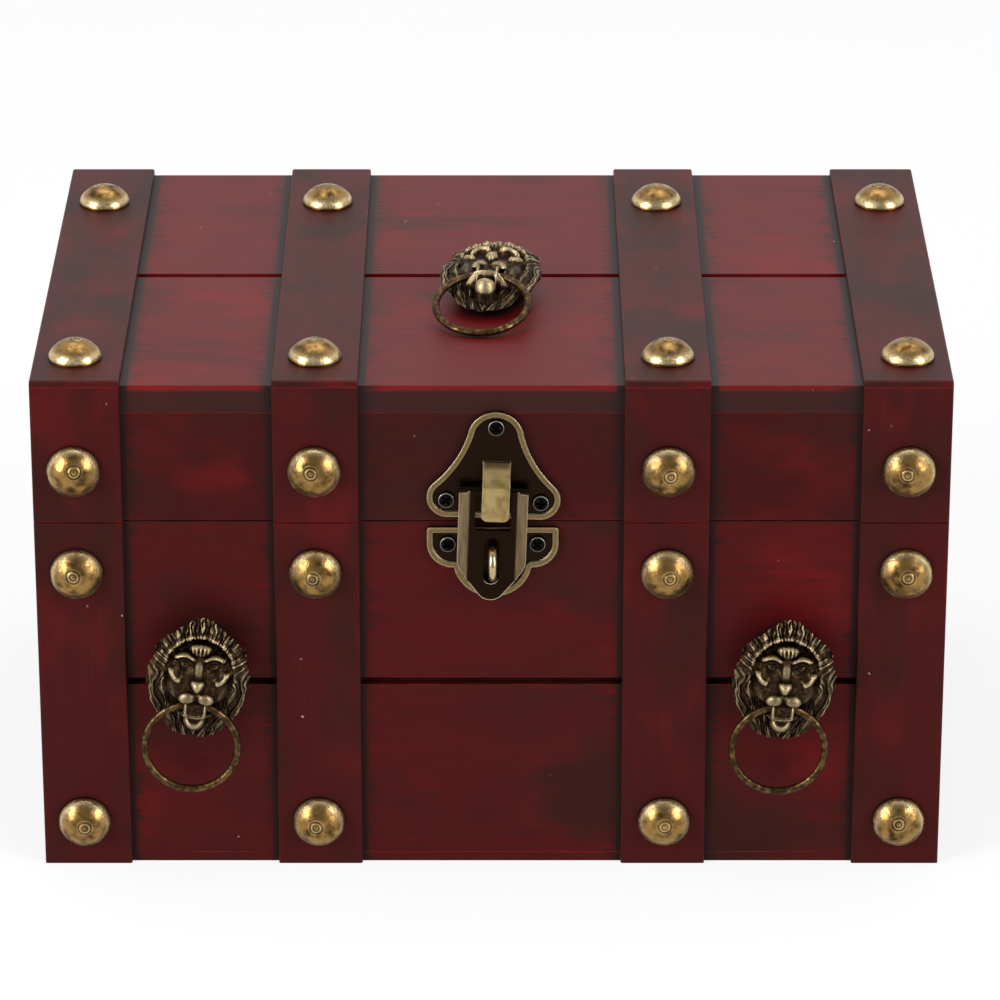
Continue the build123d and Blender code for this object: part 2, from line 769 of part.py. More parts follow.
# Two butt hinges on the back
hinges = {"left": turned(back, bay_offset, split_height), "right": turned(back, -bay_offset, split_height)}
for side, hinge in hinges.items():
    hinge_leaf_part(hinge, -1, f"hinge_{side}_body_leaf")
    hinge_leaf_part(hinge, 1, f"hinge_{side}_lid_leaf")
    with BuildPart() as hinge_pin:
        pin_line = Plane(origin=hinge.offset(hinge_stand).origin, z_dir=hinge.x_dir)
        with BuildSketch(pin_line) as round_bar:
            Circle(pin_diameter / 2)
        extrude(round_bar.sketch, amount=hinge_width / 2, both=True)
        for start in (-hinge_width / 2 - pin_head_height, hinge_width / 2):
            with BuildSketch(pin_line.offset(start)) as peened:
                Circle(pin_head / 2)
            extrude(peened.sketch, amount=pin_head_height)
    finish(hinge_pin, f"hinge_{side}_pin")

hinge_screw_sizes = (
    wood_screw_shank,
    leaf_thickness + hinge_screw_bite,
    hinge_screw_head,
    hinge_screw_thickness,
)
back_seat = back.offset(leaf_thickness)
screws([turned(back_seat, -x, body_hinge_z) for x in hinge_screw_offsets], *hinge_screw_sizes, "body_hinge_screws")
screws([turned(back_seat, -x, lid_hinge_z) for x in hinge_screw_offsets], *hinge_screw_sizes, "lid_hinge_screws")
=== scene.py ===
import json
import logging
import math
import random
from dataclasses import dataclass
from enum import Enum
from typing import Callable, Sequence

import bmesh
import bpy
import numpy as np
from mathutils import Matrix, Vector


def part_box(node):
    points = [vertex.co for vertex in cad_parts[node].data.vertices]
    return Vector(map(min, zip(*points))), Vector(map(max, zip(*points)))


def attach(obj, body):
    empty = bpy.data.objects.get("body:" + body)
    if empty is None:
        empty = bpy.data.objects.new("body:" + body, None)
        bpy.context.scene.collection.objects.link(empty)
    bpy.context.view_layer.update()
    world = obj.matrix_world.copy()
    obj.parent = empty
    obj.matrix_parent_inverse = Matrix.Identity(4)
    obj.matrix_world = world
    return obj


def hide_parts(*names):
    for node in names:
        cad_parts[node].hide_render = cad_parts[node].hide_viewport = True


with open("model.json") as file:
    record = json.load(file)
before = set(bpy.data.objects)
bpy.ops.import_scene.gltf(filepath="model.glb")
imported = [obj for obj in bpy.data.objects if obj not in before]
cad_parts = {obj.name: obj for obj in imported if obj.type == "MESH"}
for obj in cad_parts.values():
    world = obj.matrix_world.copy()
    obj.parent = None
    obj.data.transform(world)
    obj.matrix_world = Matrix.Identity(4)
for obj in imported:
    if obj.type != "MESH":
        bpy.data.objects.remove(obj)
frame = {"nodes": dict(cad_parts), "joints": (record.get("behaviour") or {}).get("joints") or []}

# A small stained wooden treasure chest with brass-headed nails, lion ring pulls and a hasp.
# Lengths in the classes below are millimetres; MM turns them into the metres of the frame.

MM = 0.001
UP = Vector((0, 0, 1))
RIGHT = Vector((1, 0, 0))
FORWARD = Vector((0, -1, 0))
BACKWARD = Vector((0, 1, 0))

Source = bpy.types.Node | bpy.types.NodeSocket
Height = Callable[[np.ndarray, np.ndarray], np.ndarray]
Outline = Callable[[np.ndarray], np.ndarray]

log = logging.getLogger("treasure_chest")


def linear(colour: str) -> tuple[float, float, float, float]:
    """Turn an sRGB colour into linear light.

    Args:
        colour: The colour as #rrggbb.

    Returns:
        Red, green, blue and an opaque alpha.
    """
    channels = [int(colour[at : at + 2], 16) / 255 for at in (1, 3, 5)]
    light = [c / 12.92 if c <= 0.04045 else ((c + 0.055) / 1.055) ** 2.4 for c in channels]
    return (light[0], light[1], light[2], 1.0)


class Graph:
    """The shader graph of one material or of the world, grown a node at a time."""

    def __init__(self, owner: bpy.types.Material | bpy.types.World) -> None:
        """Start an empty graph in its owner."""
        self.owner = owner
        self.owner.use_nodes = True
        self.tree = self.owner.node_tree
        self.tree.nodes.clear()

    def add(
        self,
        kind: str,
        inputs: dict[str | int, object] | None = None,
        **settings: object,
    ) -> bpy.types.Node:
        """Add a node with its settings, values and links.

        Args:
            kind: Blender's own name for the node type.
            inputs: For each input that isn't left alone, a value, a colour as #rrggbb, an output socket
                of an earlier node, or that node itself, which then passes on its first output.
            settings: The node's options.

        Returns:
            The node.
        """
        node = self.tree.nodes.new(kind)
        for option, value in settings.items():
            setattr(node, option, value)
        for socket, source in (inputs or {}).items():
            if isinstance(source, bpy.types.Node):
                source = source.outputs[0]
            if isinstance(source, bpy.types.NodeSocket):
                self.tree.links.new(source, node.inputs[socket])
            else:
                node.inputs[socket].default_value = linear(source) if isinstance(source, str) else source
        return node

    def layered(self, ground: str, coats: Sequence[tuple[Source, str | Source]]) -> Source:
        """Lay coats of colour over a ground.

        Args:
            ground: The lowest colour.
            coats: For each coat, from the lowest up, its share from 0 to 1 and its colour.

        Returns:
            The colour that shows.
        """
        colour: str | Source = ground
        for share, coat in coats:
            colour = self.add("ShaderNodeMix", {0: share, 6: colour, 7: coat}, data_type="RGBA").outputs[2]
        return colour

    def reflected_or_seen(self) -> Source:
        """Be 1 for what is seen, straight or in metal and glass, and 0 for the light on the object."""
        path = self.add("ShaderNodeLightPath").outputs
        mirrored = {0: path["Is Glossy Ray"], 1: path["Is Transmission Ray"]}
        seen = {0: path["Is Camera Ray"], 1: self.add("ShaderNodeMath", mirrored, operation="MAXIMUM")}
        return self.add("ShaderNodeMath", seen, operation="MAXIMUM")

    def along(self, axis: str, coordinates: str = "Object") -> Source:
        """How far each point lies along one axis, X, Y or Z, of the object's coordinates."""
        place = self.add("ShaderNodeTexCoord").outputs[coordinates]
        return self.add("ShaderNodeSeparateXYZ", {"Vector": place}).outputs[axis]

    def speckle(
        self,
        size: float | tuple[float, float, float],
        low: float,
        high: float,
        detail: float = 3.0,
    ) -> Source:
        """Make soft-edged patches from noise.

        Args:
            size: How long a patch is, or how long it is along each axis, in millimetres.
            low: The noise level where a patch begins.
            high: The noise level where it is full.
            detail: How many finer octaves roughen its edge.

        Returns:
            A share that is 0 outside the patches and 1 inside.
        """
        lengths = size if isinstance(size, tuple) else (size, size, size)
        place = self.add("ShaderNodeTexCoord").outputs["Object"]
        scale = [1 / (length * MM) for length in lengths]
        stretched = self.add("ShaderNodeMapping", {"Vector": place, "Scale": scale})
        noise = self.add("ShaderNodeTexNoise", {"Vector": stretched, "Scale": 1.0, "Detail": detail})
        levels = {"Value": noise.outputs["Fac"], "From Min": low, "From Max": high}
        return self.add("ShaderNodeMapRange", levels, interpolation_type="SMOOTHSTEP")

    def worn_edges(self, radius: float, low: float, high: float) -> Source:
        """Find the sharp edges, where hands and cloths rub a finish away.

        Args:
            radius: How far in from an edge the rubbing reaches, in millimetres.
            low: The bend of the surface, 0 to 1, where wear begins.
            high: The bend where it is full.

        Returns:
            A share that is 1 on the edges and 0 on flat faces.
        """
        eased = self.add("ShaderNodeBevel", {"Radius": radius * MM}, samples=6)
        facing = {0: eased, 1: self.add("ShaderNodeNewGeometry").outputs["Normal"]}
        turn = self.add("ShaderNodeVectorMath", facing, operation="DOT_PRODUCT").outputs["Value"]
        levels = {"Value": turn, "From Min": 1 - low, "From Max": 1 - high}
        return self.add("ShaderNodeMapRange", levels, interpolation_type="SMOOTHSTEP")

    def surface(self, values: dict[str, object]) -> bpy.types.Material:
        """Close the graph with its surface shader and hand back the material."""
        self.add("ShaderNodeOutputMaterial", {"Surface": self.add("ShaderNodeBsdfPrincipled", values)})
        return self.owner


class Grain(Enum):
    """The axis along which a board's fibres run."""

    ACROSS = 0
    DEEP = 1
    UPRIGHT = 2

    def stretch(self, along: float, thick: float) -> tuple[float, float, float]:
        """The size of a mark that is long with the grain and thin across it."""
        size = [thick, thick, thick]
        size[self.value] = along
        return (size[0], size[1], size[2])


@dataclass(frozen=True)
class StainedWood:
    """Open-pored softwood, sanded, stained ox-blood red, wiped with black glaze and thinly waxed.

    The stain gives the deep red, the glaze its smoky clouds, its dark fibres and the soot beside the
    straps, and the sanded edges show the bright red of the first coat. The wax is so thin over the open
    pores that it reflects less than a full film would, like an index of 1.36, and what it reflects straight
    on is tinged by the stain.

    Attributes:
        grain: The way the fibres run.
        stain: The red of the stain, and where the cloth rubbed it brighter, `rubbed`.
        glaze: The glaze in its clouds, and where it sits in a dark `fibre`.
        edge: The first coat, bared on the edges.
        grime_and_shade: The glaze left beside the straps and in dark bands, and the painted shade in corners.
        tinge: What the wax reflects straight on.
        speck: The bare wood in a nick.
        cloud_size: How wide a cloud of glaze is, in millimetres.
        clouds_from: The noise level where a cloud begins: lower gives more glaze.
        fibre_length: How long a fibre runs, and how thin it is, `fibre_width`.
        fibre_share: How strongly a fibre shows, and a broader streak, `streak_share`.
        edge_reach: How far in from an edge the rubbing reaches.
        shade_reach: How far out of a corner the painted shade reaches.
        pore_depth: How deep a pore is.
        grime_edges: How far from the middle of the box the straps' edges lie, in millimetres.
        grime_solid: How wide the solid strip of glaze beside an edge is.
        grime_fringe: How far its ragged fringe reaches.
        dark_levels: The heights between which the glaze was left, if any.
    """

    name: str
    grain: Grain
    stain: str = "#41090a"
    rubbed: str = "#540a0b"
    glaze: str = "#2a0f0d"
    fibre: str = "#280b0b"
    edge: str = "#7c1510"
    grime_and_shade: str = "#191111"
    tinge: str = "#c88c84"
    speck: str = "#8c7f78"
    cloud_size: float = 30.0
    clouds_from: float = 0.42
    fibre_length: float = 15.0
    fibre_width: float = 0.28
    fibre_share: float = 0.38
    streak_share: float = 0.28
    edge_reach: float = 0.35
    roughness: float = 0.5
    index: float = 1.36
    shade_reach: float = 2.2
    pore_depth: float = 0.05
    grime_edges: tuple[float, ...] = ()
    grime_solid: float = 0.9
    grime_fringe: float = 5.0
    dark_levels: tuple[float, float] | None = None

    def beside_straps(self, graph: Graph) -> Source:
        """Mark the black glaze that the wiping cloth left outside, against the straps' edges."""
        outward = graph.add("ShaderNodeMath", {0: graph.along("X")}, operation="ABSOLUTE")
        nearest = None
        for edge in self.grime_edges:
            offset = graph.add("ShaderNodeMath", {0: outward, 1: edge * MM}, operation="SUBTRACT")
            away = graph.add("ShaderNodeMath", {0: offset}, operation="ABSOLUTE")
            if nearest is not None:
                away = graph.add("ShaderNodeMath", {0: nearest, 1: away}, operation="MINIMUM")
            nearest = away
        solid = {"Value": nearest, "From Min": 2.0 * self.grime_solid * MM, "From Max": self.grime_solid * MM}
        strip = graph.add("ShaderNodeMapRange", solid, interpolation_type="SMOOTHSTEP")
        strokes = graph.speckle(self.grain.stretch(9.0, 0.9), 0.35, 0.7)
        patchy = {0: strokes, 1: graph.speckle(14.0, 0.32, 0.62)}
        ragged = graph.add("ShaderNodeMath", patchy, operation="MULTIPLY")
        short, long = 0.3 * self.grime_fringe * MM, 1.6 * self.grime_fringe * MM
        reach = graph.add("ShaderNodeMapRange", {"Value": ragged, "To Min": short, "To Max": long})
        band = {"Value": nearest, "From Min": reach, "From Max": 0.0, "To Max": 0.9}
        fringe = graph.add("ShaderNodeMapRange", band, interpolation_type="SMOOTHSTEP")
        left = graph.add("ShaderNodeMath", {0: strip, 1: fringe}, operation="MAXIMUM")
        own = graph.add("ShaderNodeTexCoord").outputs
        facing = {0: own["Object"], 1: own["Normal"]}
        turned_out = graph.add("ShaderNodeVectorMath", facing, operation="DOT_PRODUCT").outputs["Value"]
        outside = graph.add("ShaderNodeMath", {0: turned_out, 1: 0.0}, operation="GREATER_THAN")
        return graph.add("ShaderNodeMath", {0: left, 1: outside}, operation="MULTIPLY")

    def between_levels(self, graph: Graph, low: float, high: float) -> Source:
        """Mark the glaze left in the band between two heights above the table."""
        middle, half = (low + high) / 2, (high - low) / 2
        offset = graph.add("ShaderNodeMath", {0: graph.along("Z"), 1: middle * MM}, operation="SUBTRACT")
        away = graph.add("ShaderNodeMath", {0: offset}, operation="ABSOLUTE")
        band = {"Value": away, "From Min": (half + 0.5) * MM, "From Max": (half - 0.5) * MM, "To Max": 0.85}
        return graph.add("ShaderNodeMapRange", band, interpolation_type="SMOOTHSTEP")

    def build(self) -> bpy.types.Material:
        """Make the material."""
        graph = Graph(bpy.data.materials.new(self.name))
        size, start = self.cloud_size, self.clouds_from
        rubbed = graph.speckle(self.grain.stretch(1.1 * size, 0.8 * size), 0.5, 0.66, 4)
        clouds = graph.speckle(self.grain.stretch(1.6 * size, 0.8 * size), start, start + 0.26, 6)
        fibres = graph.speckle(self.grain.stretch(self.fibre_length, self.fibre_width), 0.42, 0.7, 4)
        streaks = graph.speckle(self.grain.stretch(4 * self.fibre_length, 7 * self.fibre_width), 0.48, 0.72)
        thin = graph.add("ShaderNodeMath", {0: fibres, 1: self.fibre_share}, operation="MULTIPLY")
        faint = graph.add("ShaderNodeMath", {0: streaks, 1: self.streak_share}, operation="MULTIPLY")
        coats = [(rubbed, self.rubbed), (clouds, self.glaze), (thin, self.fibre), (faint, self.glaze)]
        if self.grime_edges:
            coats.append((self.beside_straps(graph), self.grime_and_shade))
        # Painted shade: ambient occlusion darkens the wood in corners and grooves and next to the straps,
        # nails, lions and plates.
        occlusion = graph.add("ShaderNodeAmbientOcclusion", {"Distance": self.shade_reach * MM}, samples=8)
        corner = {"Value": occlusion.outputs["AO"], "From Min": 0.8, "From Max": 0.3, "To Max": 0.9}
        painted_corner_shade = graph.add("ShaderNodeMapRange", corner, interpolation_type="SMOOTHSTEP")
        edges = {0: graph.worn_edges(self.edge_reach, 0.02, 0.25), 1: graph.speckle(7.0, 0.3, 0.6)}
        worn = graph.add("ShaderNodeMath", edges, operation="MULTIPLY")
        coats += [(painted_corner_shade, self.grime_and_shade), (worn, self.edge)]
        if self.dark_levels:
            coats.append((self.between_levels(graph, *self.dark_levels), self.grime_and_shade))
        knocks = {0: graph.speckle(1.2, 0.83, 0.86, 0), 1: graph.speckle(9.0, 0.72, 0.75, 0)}
        coats.append((graph.add("ShaderNodeMath", knocks, operation="MULTIPLY"), self.speck))
        pores = {"Height": fibres, "Strength": 0.3, "Distance": self.pore_depth * MM}
        values = {
            "Base Color": graph.layered(self.stain, coats),
            "Roughness": self.roughness,
            "IOR": self.index,
            "Normal": graph.add("ShaderNodeBump", pores, invert=True),
            "Specular Tint": self.tinge,
        }
        return graph.surface(values)


@dataclass(frozen=True)
class AntiquedMetal:
    """Brass or bronze, darkened in a liver-of-sulphur bath and rubbed back on its high places.

    The dark patina stays in the hollows, the rubbed metal shines on what stands out, and fine mottling
    breaks up both. A worn map on the mesh says how far each spot stands out; bare sheet has none and
    shows its wear on its edges.

    Attributes:
        patina: The dark film.
        metal: The metal under it, and where it is rubbed bright, `polished`.
        mottle: How wide a blotch of patina is, in millimetres.
        patina_share: How much of the metal the patina covers.
        mapped: Whether the mesh has a worn map.
        edge_reach: How far in from an edge the rubbing reaches, where there is no map.
        bump: How rough the casting or sheet is, in millimetres.
        floor: The least share of the rubbing that its fine grain leaves.
    """

    name: str
    patina: str
    metal: str
    polished: str
    mottle: float = 1.2
    patina_share: float = 0.5
    roughness: float = 0.34
    mapped: bool = False
    edge_reach: float = 0.4
    bump: float = 0.02
    floor: float = 0.55

    def build(self) -> bpy.types.Material:
        """Make the material."""
        graph = Graph(bpy.data.materials.new(self.name))
        bare = 1 - self.patina_share
        tarnish = graph.speckle(self.mottle, bare - 0.18, bare + 0.16, 5)
        coats = [(tarnish, self.patina)]
        grains = graph.speckle(0.25 * self.mottle, 0.35, 0.7, 2)
        if self.mapped:
            worn = graph.add("ShaderNodeAttribute", attribute_name="worn").outputs["Fac"]
            low = {"Value": worn, "From Min": 0.5, "From Max": 0.15}
            coats.append((graph.add("ShaderNodeMapRange", low, interpolation_type="SMOOTHSTEP"), self.patina))
            high = {"Value": worn, "From Min": 0.53, "From Max": 0.85}
            bright = graph.add("ShaderNodeMapRange", high, interpolation_type="SMOOTHSTEP")
        else:
            bright = graph.worn_edges(self.edge_reach, 0.03, 0.25)
        kept = graph.add("ShaderNodeMapRange", {"Value": grains, "To Min": self.floor})
        coats.append((graph.add("ShaderNodeMath", {0: bright, 1: kept}, operation="MULTIPLY"), self.polished))
        spread = {"Value": tarnish, "To Min": self.roughness, "To Max": self.roughness + 0.18}
        texture = {"Height": grains, "Strength": 0.4, "Distance": self.bump * MM}
        values = {
            "Base Color": graph.layered(self.metal, coats),
            "Metallic": 1.0,
            "Roughness": graph.add("ShaderNodeMapRange", spread),
            "Normal": graph.add("ShaderNodeBump", texture),
        }
        return graph.surface(values)


@dataclass(frozen=True)
class HaspSheet:
    """Pressed steel sheet plated with antique bronze: near-black faces, and rims worn to pale brass.

    The rim and the bent tongue stand out from the plate, so they have lost their dark plating, while the
    face between them keeps it.

    Attributes:
        face_out: How far the plate's face lies in front of the middle of the box, in millimetres.
        face: The dark plating.
        rim: The worn rim, and its outer edge, `rim_edge`.
        tongue: The worn tongue, and its duller blotches, `tongue_dull`.
        bright: The bare edges.
    """

    name: str
    face_out: float
    face: str = "#241811"
    rim: str = "#7a6541"
    rim_edge: str = "#b39c70"
    tongue: str = "#b19a69"
    tongue_dull: str = "#8f784a"
    bright: str = "#ded0ac"
    roughness: float = 0.38

    def standing_out(self, graph: Graph, start: float, end: float) -> Source:
        """Mark what stands out from the plate's face, fading in between two heights over it."""
        near, far = -(self.face_out + start) * MM, -(self.face_out + end) * MM
        between = {"Value": graph.along("Y"), "From Min": near, "From Max": far}
        return graph.add("ShaderNodeMapRange", between, interpolation_type="SMOOTHSTEP")

    def build(self) -> bpy.types.Material:
        """Make the material."""
        graph = Graph(bpy.data.materials.new(self.name))
        grains = graph.speckle(0.5, 0.3, 0.7)
        kept = graph.add("ShaderNodeMapRange", {"Value": grains, "To Min": 0.7})
        raised = {0: self.standing_out(graph, 0.1, 0.5), 1: kept}
        rubbed = graph.add("ShaderNodeMath", raised, operation="MULTIPLY")
        rim = graph.layered(self.rim, [(graph.worn_edges(1.5, 0.01, 0.28), self.rim_edge)])
        tongue = graph.layered(self.tongue, [(graph.speckle(2.6, 0.4, 0.7), self.tongue_dull)])
        coats = [
            (rubbed, rim),
            (self.standing_out(graph, 0.8, 2.2), tongue),
            (graph.worn_edges(0.28, 0.05, 0.3), self.bright),
        ]
        values = {
            "Base Color": graph.layered(self.face, coats),
            "Metallic": 1.0,
            "Roughness": self.roughness,
            "Normal": graph.add("ShaderNodeBevel", {"Radius": 0.3 * MM}, samples=6),
        }
        return graph.surface(values)


@dataclass(frozen=True)
class FlapSheet:
    """The thicker sheet of the flap, plated like the plates and handled more.

    Its flat face keeps the dark plating. The ground slopes along its sides, which face left or right,
    are rubbed to grey-gold and painted lighter as a sheen from the side lamps, and every edge between two
    faces shows a pale line.

    Attributes:
        tip_level: The height above the table up to which the tip's edges are bare, in millimetres.
        face: The dark plating.
        slope_wear_and_sheen: The rubbed slopes, lightened by a painted sheen.
        bright: The bare edges.
    """

    name: str
    tip_level: float
    face: str = "#21170f"
    slope_wear_and_sheen: str = "#7d6a4f"
    bright: str = "#e2d4b2"
    roughness: float = 0.36

    def build(self) -> bpy.types.Material:
        """Make the material."""
        graph = Graph(bpy.data.materials.new(self.name))
        # The slopes, found by facing left or right, take a colour that is both wear and a painted highlight
        # from the side lamps.
        facing = graph.add("ShaderNodeNewGeometry").outputs["Normal"]
        sideways = graph.add("ShaderNodeSeparateXYZ", {"Vector": facing}).outputs["X"]
        tilt = graph.add("ShaderNodeMath", {0: sideways}, operation="ABSOLUTE")
        turned = {"Value": tilt, "From Min": 0.15, "From Max": 0.45}
        slopes = graph.add("ShaderNodeMapRange", turned, interpolation_type="SMOOTHSTEP")
        above, below = (self.tip_level + 0.5) * MM, (self.tip_level - 0.5) * MM
        nearness = {"Value": graph.along("Z"), "From Min": above, "From Max": below}
        tip = graph.add("ShaderNodeMapRange", nearness)
        outer = graph.add("ShaderNodeMath", {0: slopes, 1: tip}, operation="MAXIMUM")
        rubbed = {0: outer, 1: graph.worn_edges(0.45, 0.01, 0.15)}
        edges = graph.add("ShaderNodeMath", rubbed, operation="MULTIPLY")
        streaks = {0: graph.speckle((1.2, 1.2, 7.0), 0.3, 0.75), 1: 0.45}
        faint = graph.add("ShaderNodeMath", streaks, operation="MULTIPLY")
        coats = [(slopes, graph.layered(self.slope_wear_and_sheen, [(faint, self.face)])), (edges, self.bright)]
        texture = {"Height": graph.speckle(0.4, 0.35, 0.7, 2), "Strength": 0.3, "Distance": 0.02 * MM}
        values = {
            "Base Color": graph.layered(self.face, coats),
            "Metallic": 1.0,
            "Roughness": self.roughness,
            "Normal": graph.add("ShaderNodeBump", texture),
        }
        return graph.surface(values)


@dataclass(frozen=True)
class StudioFloor:
    """A white paper sweep that runs out in front of the chest.

    The camera and the polished metal see it lit from below as well as above. Its end, in front of what
    the camera sees, fades into the dim room, so that metal mirrors a dark side as well as a white one.

    Attributes:
        paper: The paper's own colour.
        glow: How much of what is seen of it is even white, where the rest is lit paper.
        near_end: Where the fade begins, in millimetres behind the middle of the box.
        far_end: Where it is complete.
        dim: How white the faded end is.
    """

    name: str = "studio_floor"
    paper: str = "#f4f4f4"
    glow: float = 0.76
    near_end: float = -300.0
    far_end: float = -900.0
    dim: float = 0.35

    def build(self) -> bpy.types.Material:
        """Make the material."""
        graph = Graph(bpy.data.materials.new(self.name))
        paper = graph.add("ShaderNodeBsdfDiffuse", {"Color": self.paper})
        near, far = self.near_end * MM, self.far_end * MM
        fade = {"Value": graph.along("Y"), "From Min": far, "From Max": near, "To Min": self.dim}
        white = graph.add("ShaderNodeMapRange", fade, interpolation_type="SMOOTHSTEP")
        glow = graph.add("ShaderNodeEmission", {"Color": "#ffffff", "Strength": white})
        lit = graph.add("ShaderNodeMixShader", {0: self.glow, 1: paper, 2: glow})
        shown = graph.add("ShaderNodeMixShader", {0: graph.reflected_or_seen(), 1: paper, 2: lit})
        graph.add("ShaderNodeOutputMaterial", {"Surface": shown})
        return graph.owner


def dome(
    x: np.ndarray,
    y: np.ndarray,
    centre: tuple[float, float],
    half: tuple[float, float],
    levels: tuple[float, float],
    lean: float = 0.0,
) -> np.ndarray:
    """An oval swelling that falls away steeply outside its outline.

    Args:
        x: Points across.
        y: Points up.
        centre: The middle of the oval.
        half: Its half width and half height.
        levels: The level of its outline and of its crown.
        lean: How far it is turned anticlockwise, in degrees.

    Returns:
        The level of its surface at each point.
    """
    turn = math.radians(lean)
    across = (x - centre[0]) * math.cos(turn) + (y - centre[1]) * math.sin(turn)
    up = (y - centre[1]) * math.cos(turn) - (x - centre[0]) * math.sin(turn)
    inside = 1 - (across / half[0]) ** 2 - (up / half[1]) ** 2
    low, high = levels
    return low + (high - low) * np.where(inside > 0, np.sqrt(np.abs(inside)), 1.5 * inside)


def arch(
    x: np.ndarray,
    y: np.ndarray,
    centre: tuple[float, float],
    radius: float,
    thickness: float,
    span: tuple[float, float],
) -> np.ndarray:
    """A ridge bent round a centre, 1 on its crest and 0 away from it.

    Args:
        x: Points across.
        y: Points up.
        centre: What it is bent round.
        radius: How far its crest is from there.
        thickness: How thick it is.
        span: The angles at which it starts and ends, anticlockwise from the right, in degrees.

    Returns:
        Its share at each point.
    """
    away = np.hypot(x - centre[0], y - centre[1])
    angle = np.degrees(np.arctan2(y - centre[1], x - centre[0]))
    middle, half = (span[0] + span[1]) / 2, (span[1] - span[0]) / 2
    off = np.abs((angle - middle + 180) % 360 - 180) / half
    taper = soft_step(-off, -1.25, -0.6)
    return np.exp(-(((away - radius) / (0.5 * thickness)) ** 2)) * taper


def soft_top(low: np.ndarray, high: np.ndarray, ease: float) -> np.ndarray:
    """The higher of two surfaces, with the join between them eased over a length."""
    return ease * np.logaddexp(low / ease, high / ease)


def soft_step(value: np.ndarray, start: float, end: float) -> np.ndarray:
    """A smooth step from 0 at the start to 1 at the end."""
    share = np.clip((value - start) / (end - start), 0, 1)
    return share * share * (3 - 2 * share)


def relief(
    outline: Outline,
    height: Height,
    floor: float,
    rings: int,
    spokes: int,
    foot: Outline | None = None,
) -> bpy.types.Mesh:
    """Make a closed cast or struck piece whose face is a surface of levels over a flat back.

    Args:
        outline: How far the piece reaches from its middle at each angle, in millimetres.
        height: The level of its face at each point.
        floor: The level of its flat back.
        rings: How many rings of points lie between the middle and the outline.
        spokes: How many points each ring has.
        foot: How far the back reaches at each angle, where it is smaller than the face.

    Returns:
        The mesh, in metres, smooth except where it turns sharply.
    """
    angles = np.arange(spokes) * 2 * np.pi / spokes
    shares = np.arange(1, rings + 1) / rings
    reach = outline(angles)
    x = (shares[:, None] * reach * np.cos(angles)).ravel()
    y = (shares[:, None] * reach * np.sin(angles)).ravel()
    face = np.column_stack([x, y, height(x, y)])
    middle = np.array([[0.0, 0.0, float(height(np.zeros(1), np.zeros(1))[0])]])
    seat = (foot or outline)(angles)
    rim = np.column_stack([seat * np.cos(angles), seat * np.sin(angles), np.full(spokes, floor)])
    points = np.vstack([middle, face, rim, [[0.0, 0.0, floor]]]) * MM
    polygons: list[tuple[int, ...]] = []
    last = len(points) - 1
    for spoke in range(spokes):
        following = (spoke + 1) % spokes
        polygons.append((0, 1 + spoke, 1 + following))
        for ring in range(rings):
            here, there = 1 + ring * spokes, 1 + (ring + 1) * spokes
            polygons.append((here + spoke, there + spoke, there + following, here + following))
        polygons.append((last, 1 + rings * spokes + following, 1 + rings * spokes + spoke))
    mesh = bpy.data.meshes.new("relief")
    mesh.from_pydata(points.tolist(), [], polygons)
    mesh.shade_smooth()
    mesh.set_sharp_from_angle(angle=math.radians(50))
    return mesh


def map_wear(mesh: bpy.types.Mesh, height: Height, reach: float, contrast: float) -> None:
    """Write the worn map: 0.5 on even ground, more on what stands out and less in a hollow.

    Args:
        mesh: The mesh that takes the map, in metres.
        height: The level of its face at each point, in millimetres.
        reach: How wide the ground is that a spot is compared with.
        contrast: How strongly a millimetre above or below it tells.
    """
    points = np.empty(len(mesh.vertices) * 3)
    mesh.vertices.foreach_get("co", points)
    x, y, z = (points.reshape(-1, 3) / MM).T
    ground = np.zeros_like(x)
    around = np.arange(8) * np.pi / 4
    for angle in around:
        ground += height(x + reach * math.cos(angle), y + reach * math.sin(angle)) / len(around)
    level = height(x, y)
    worn = np.clip(0.5 + contrast * (level - ground), 0, 1)
    worn[z < level - 0.2] = 0.1
    attribute = mesh.attributes.new("worn", "FLOAT", "POINT")
    attribute.data.foreach_set("value", worn.astype(np.float32))


@dataclass(frozen=True)
class Seat:
    """A place on the chest where a piece sits, with the way it faces.

    Attributes:
        centre: The middle of the seat, in metres.
        right: The piece's own right.
        out: The way it faces.
    """

    centre: Vector
    right: Vector
    out: Vector

    @property
    def up(self) -> Vector:
        """The piece's own upward direction."""
        return self.out.cross(self.right)

    def matrix(self) -> Matrix:
        """The transform that sets a piece made lying at the origin on the seat."""
        columns = Matrix((self.right, self.up, self.out)).transposed().to_4x4()
        return Matrix.Translation(self.centre) @ columns


def joint(name: str) -> dict:
    """The frame's joint of this name."""
    return next(entry for entry in frame["joints"] if entry["name"] == name)


def solids(node: str) -> list[tuple[Vector, Vector]]:
    """Find the separate solids of a CAD node.

    Args:
        node: The node's name.

    Returns:
        The lowest and highest corner of each solid, in metres.
    """
    welded = bmesh.new()
    welded.from_mesh(frame["nodes"][node].data)
    bmesh.ops.remove_doubles(welded, verts=welded.verts, dist=1e-6)
    left = set(welded.verts)
    found = []
    while left:
        front = [left.pop()]
        corners = []
        while front:
            vertex = front.pop()
            corners.append(vertex.co.copy())
            for edge in vertex.link_edges:
                other = edge.other_vert(vertex)
                if other in left:
                    left.remove(other)
                    front.append(other)
        low = Vector([min(corner[axis] for corner in corners) for axis in range(3)])
        high = Vector([max(corner[axis] for corner in corners) for axis in range(3)])
        found.append((low, high))
    welded.free()
    return sorted(found, key=lambda box: tuple(round(value, 4) for value in box[0]))


def foremost(corners: tuple[Vector, Vector], out: Vector) -> Vector:
    """The middle of the face, towards a way along one axis, of the box between two corners."""
    middle = []
    for low, high, way in zip(*corners, out):
        middle.append(max(low * way, high * way) * way if way else (low + high) / 2)
    return Vector(middle)


def dress(node: str, material: bpy.types.Material) -> None:
    """Give a CAD node its finish."""
    mesh = frame["nodes"][node].data
    mesh.materials.clear()
    mesh.materials.append(material)


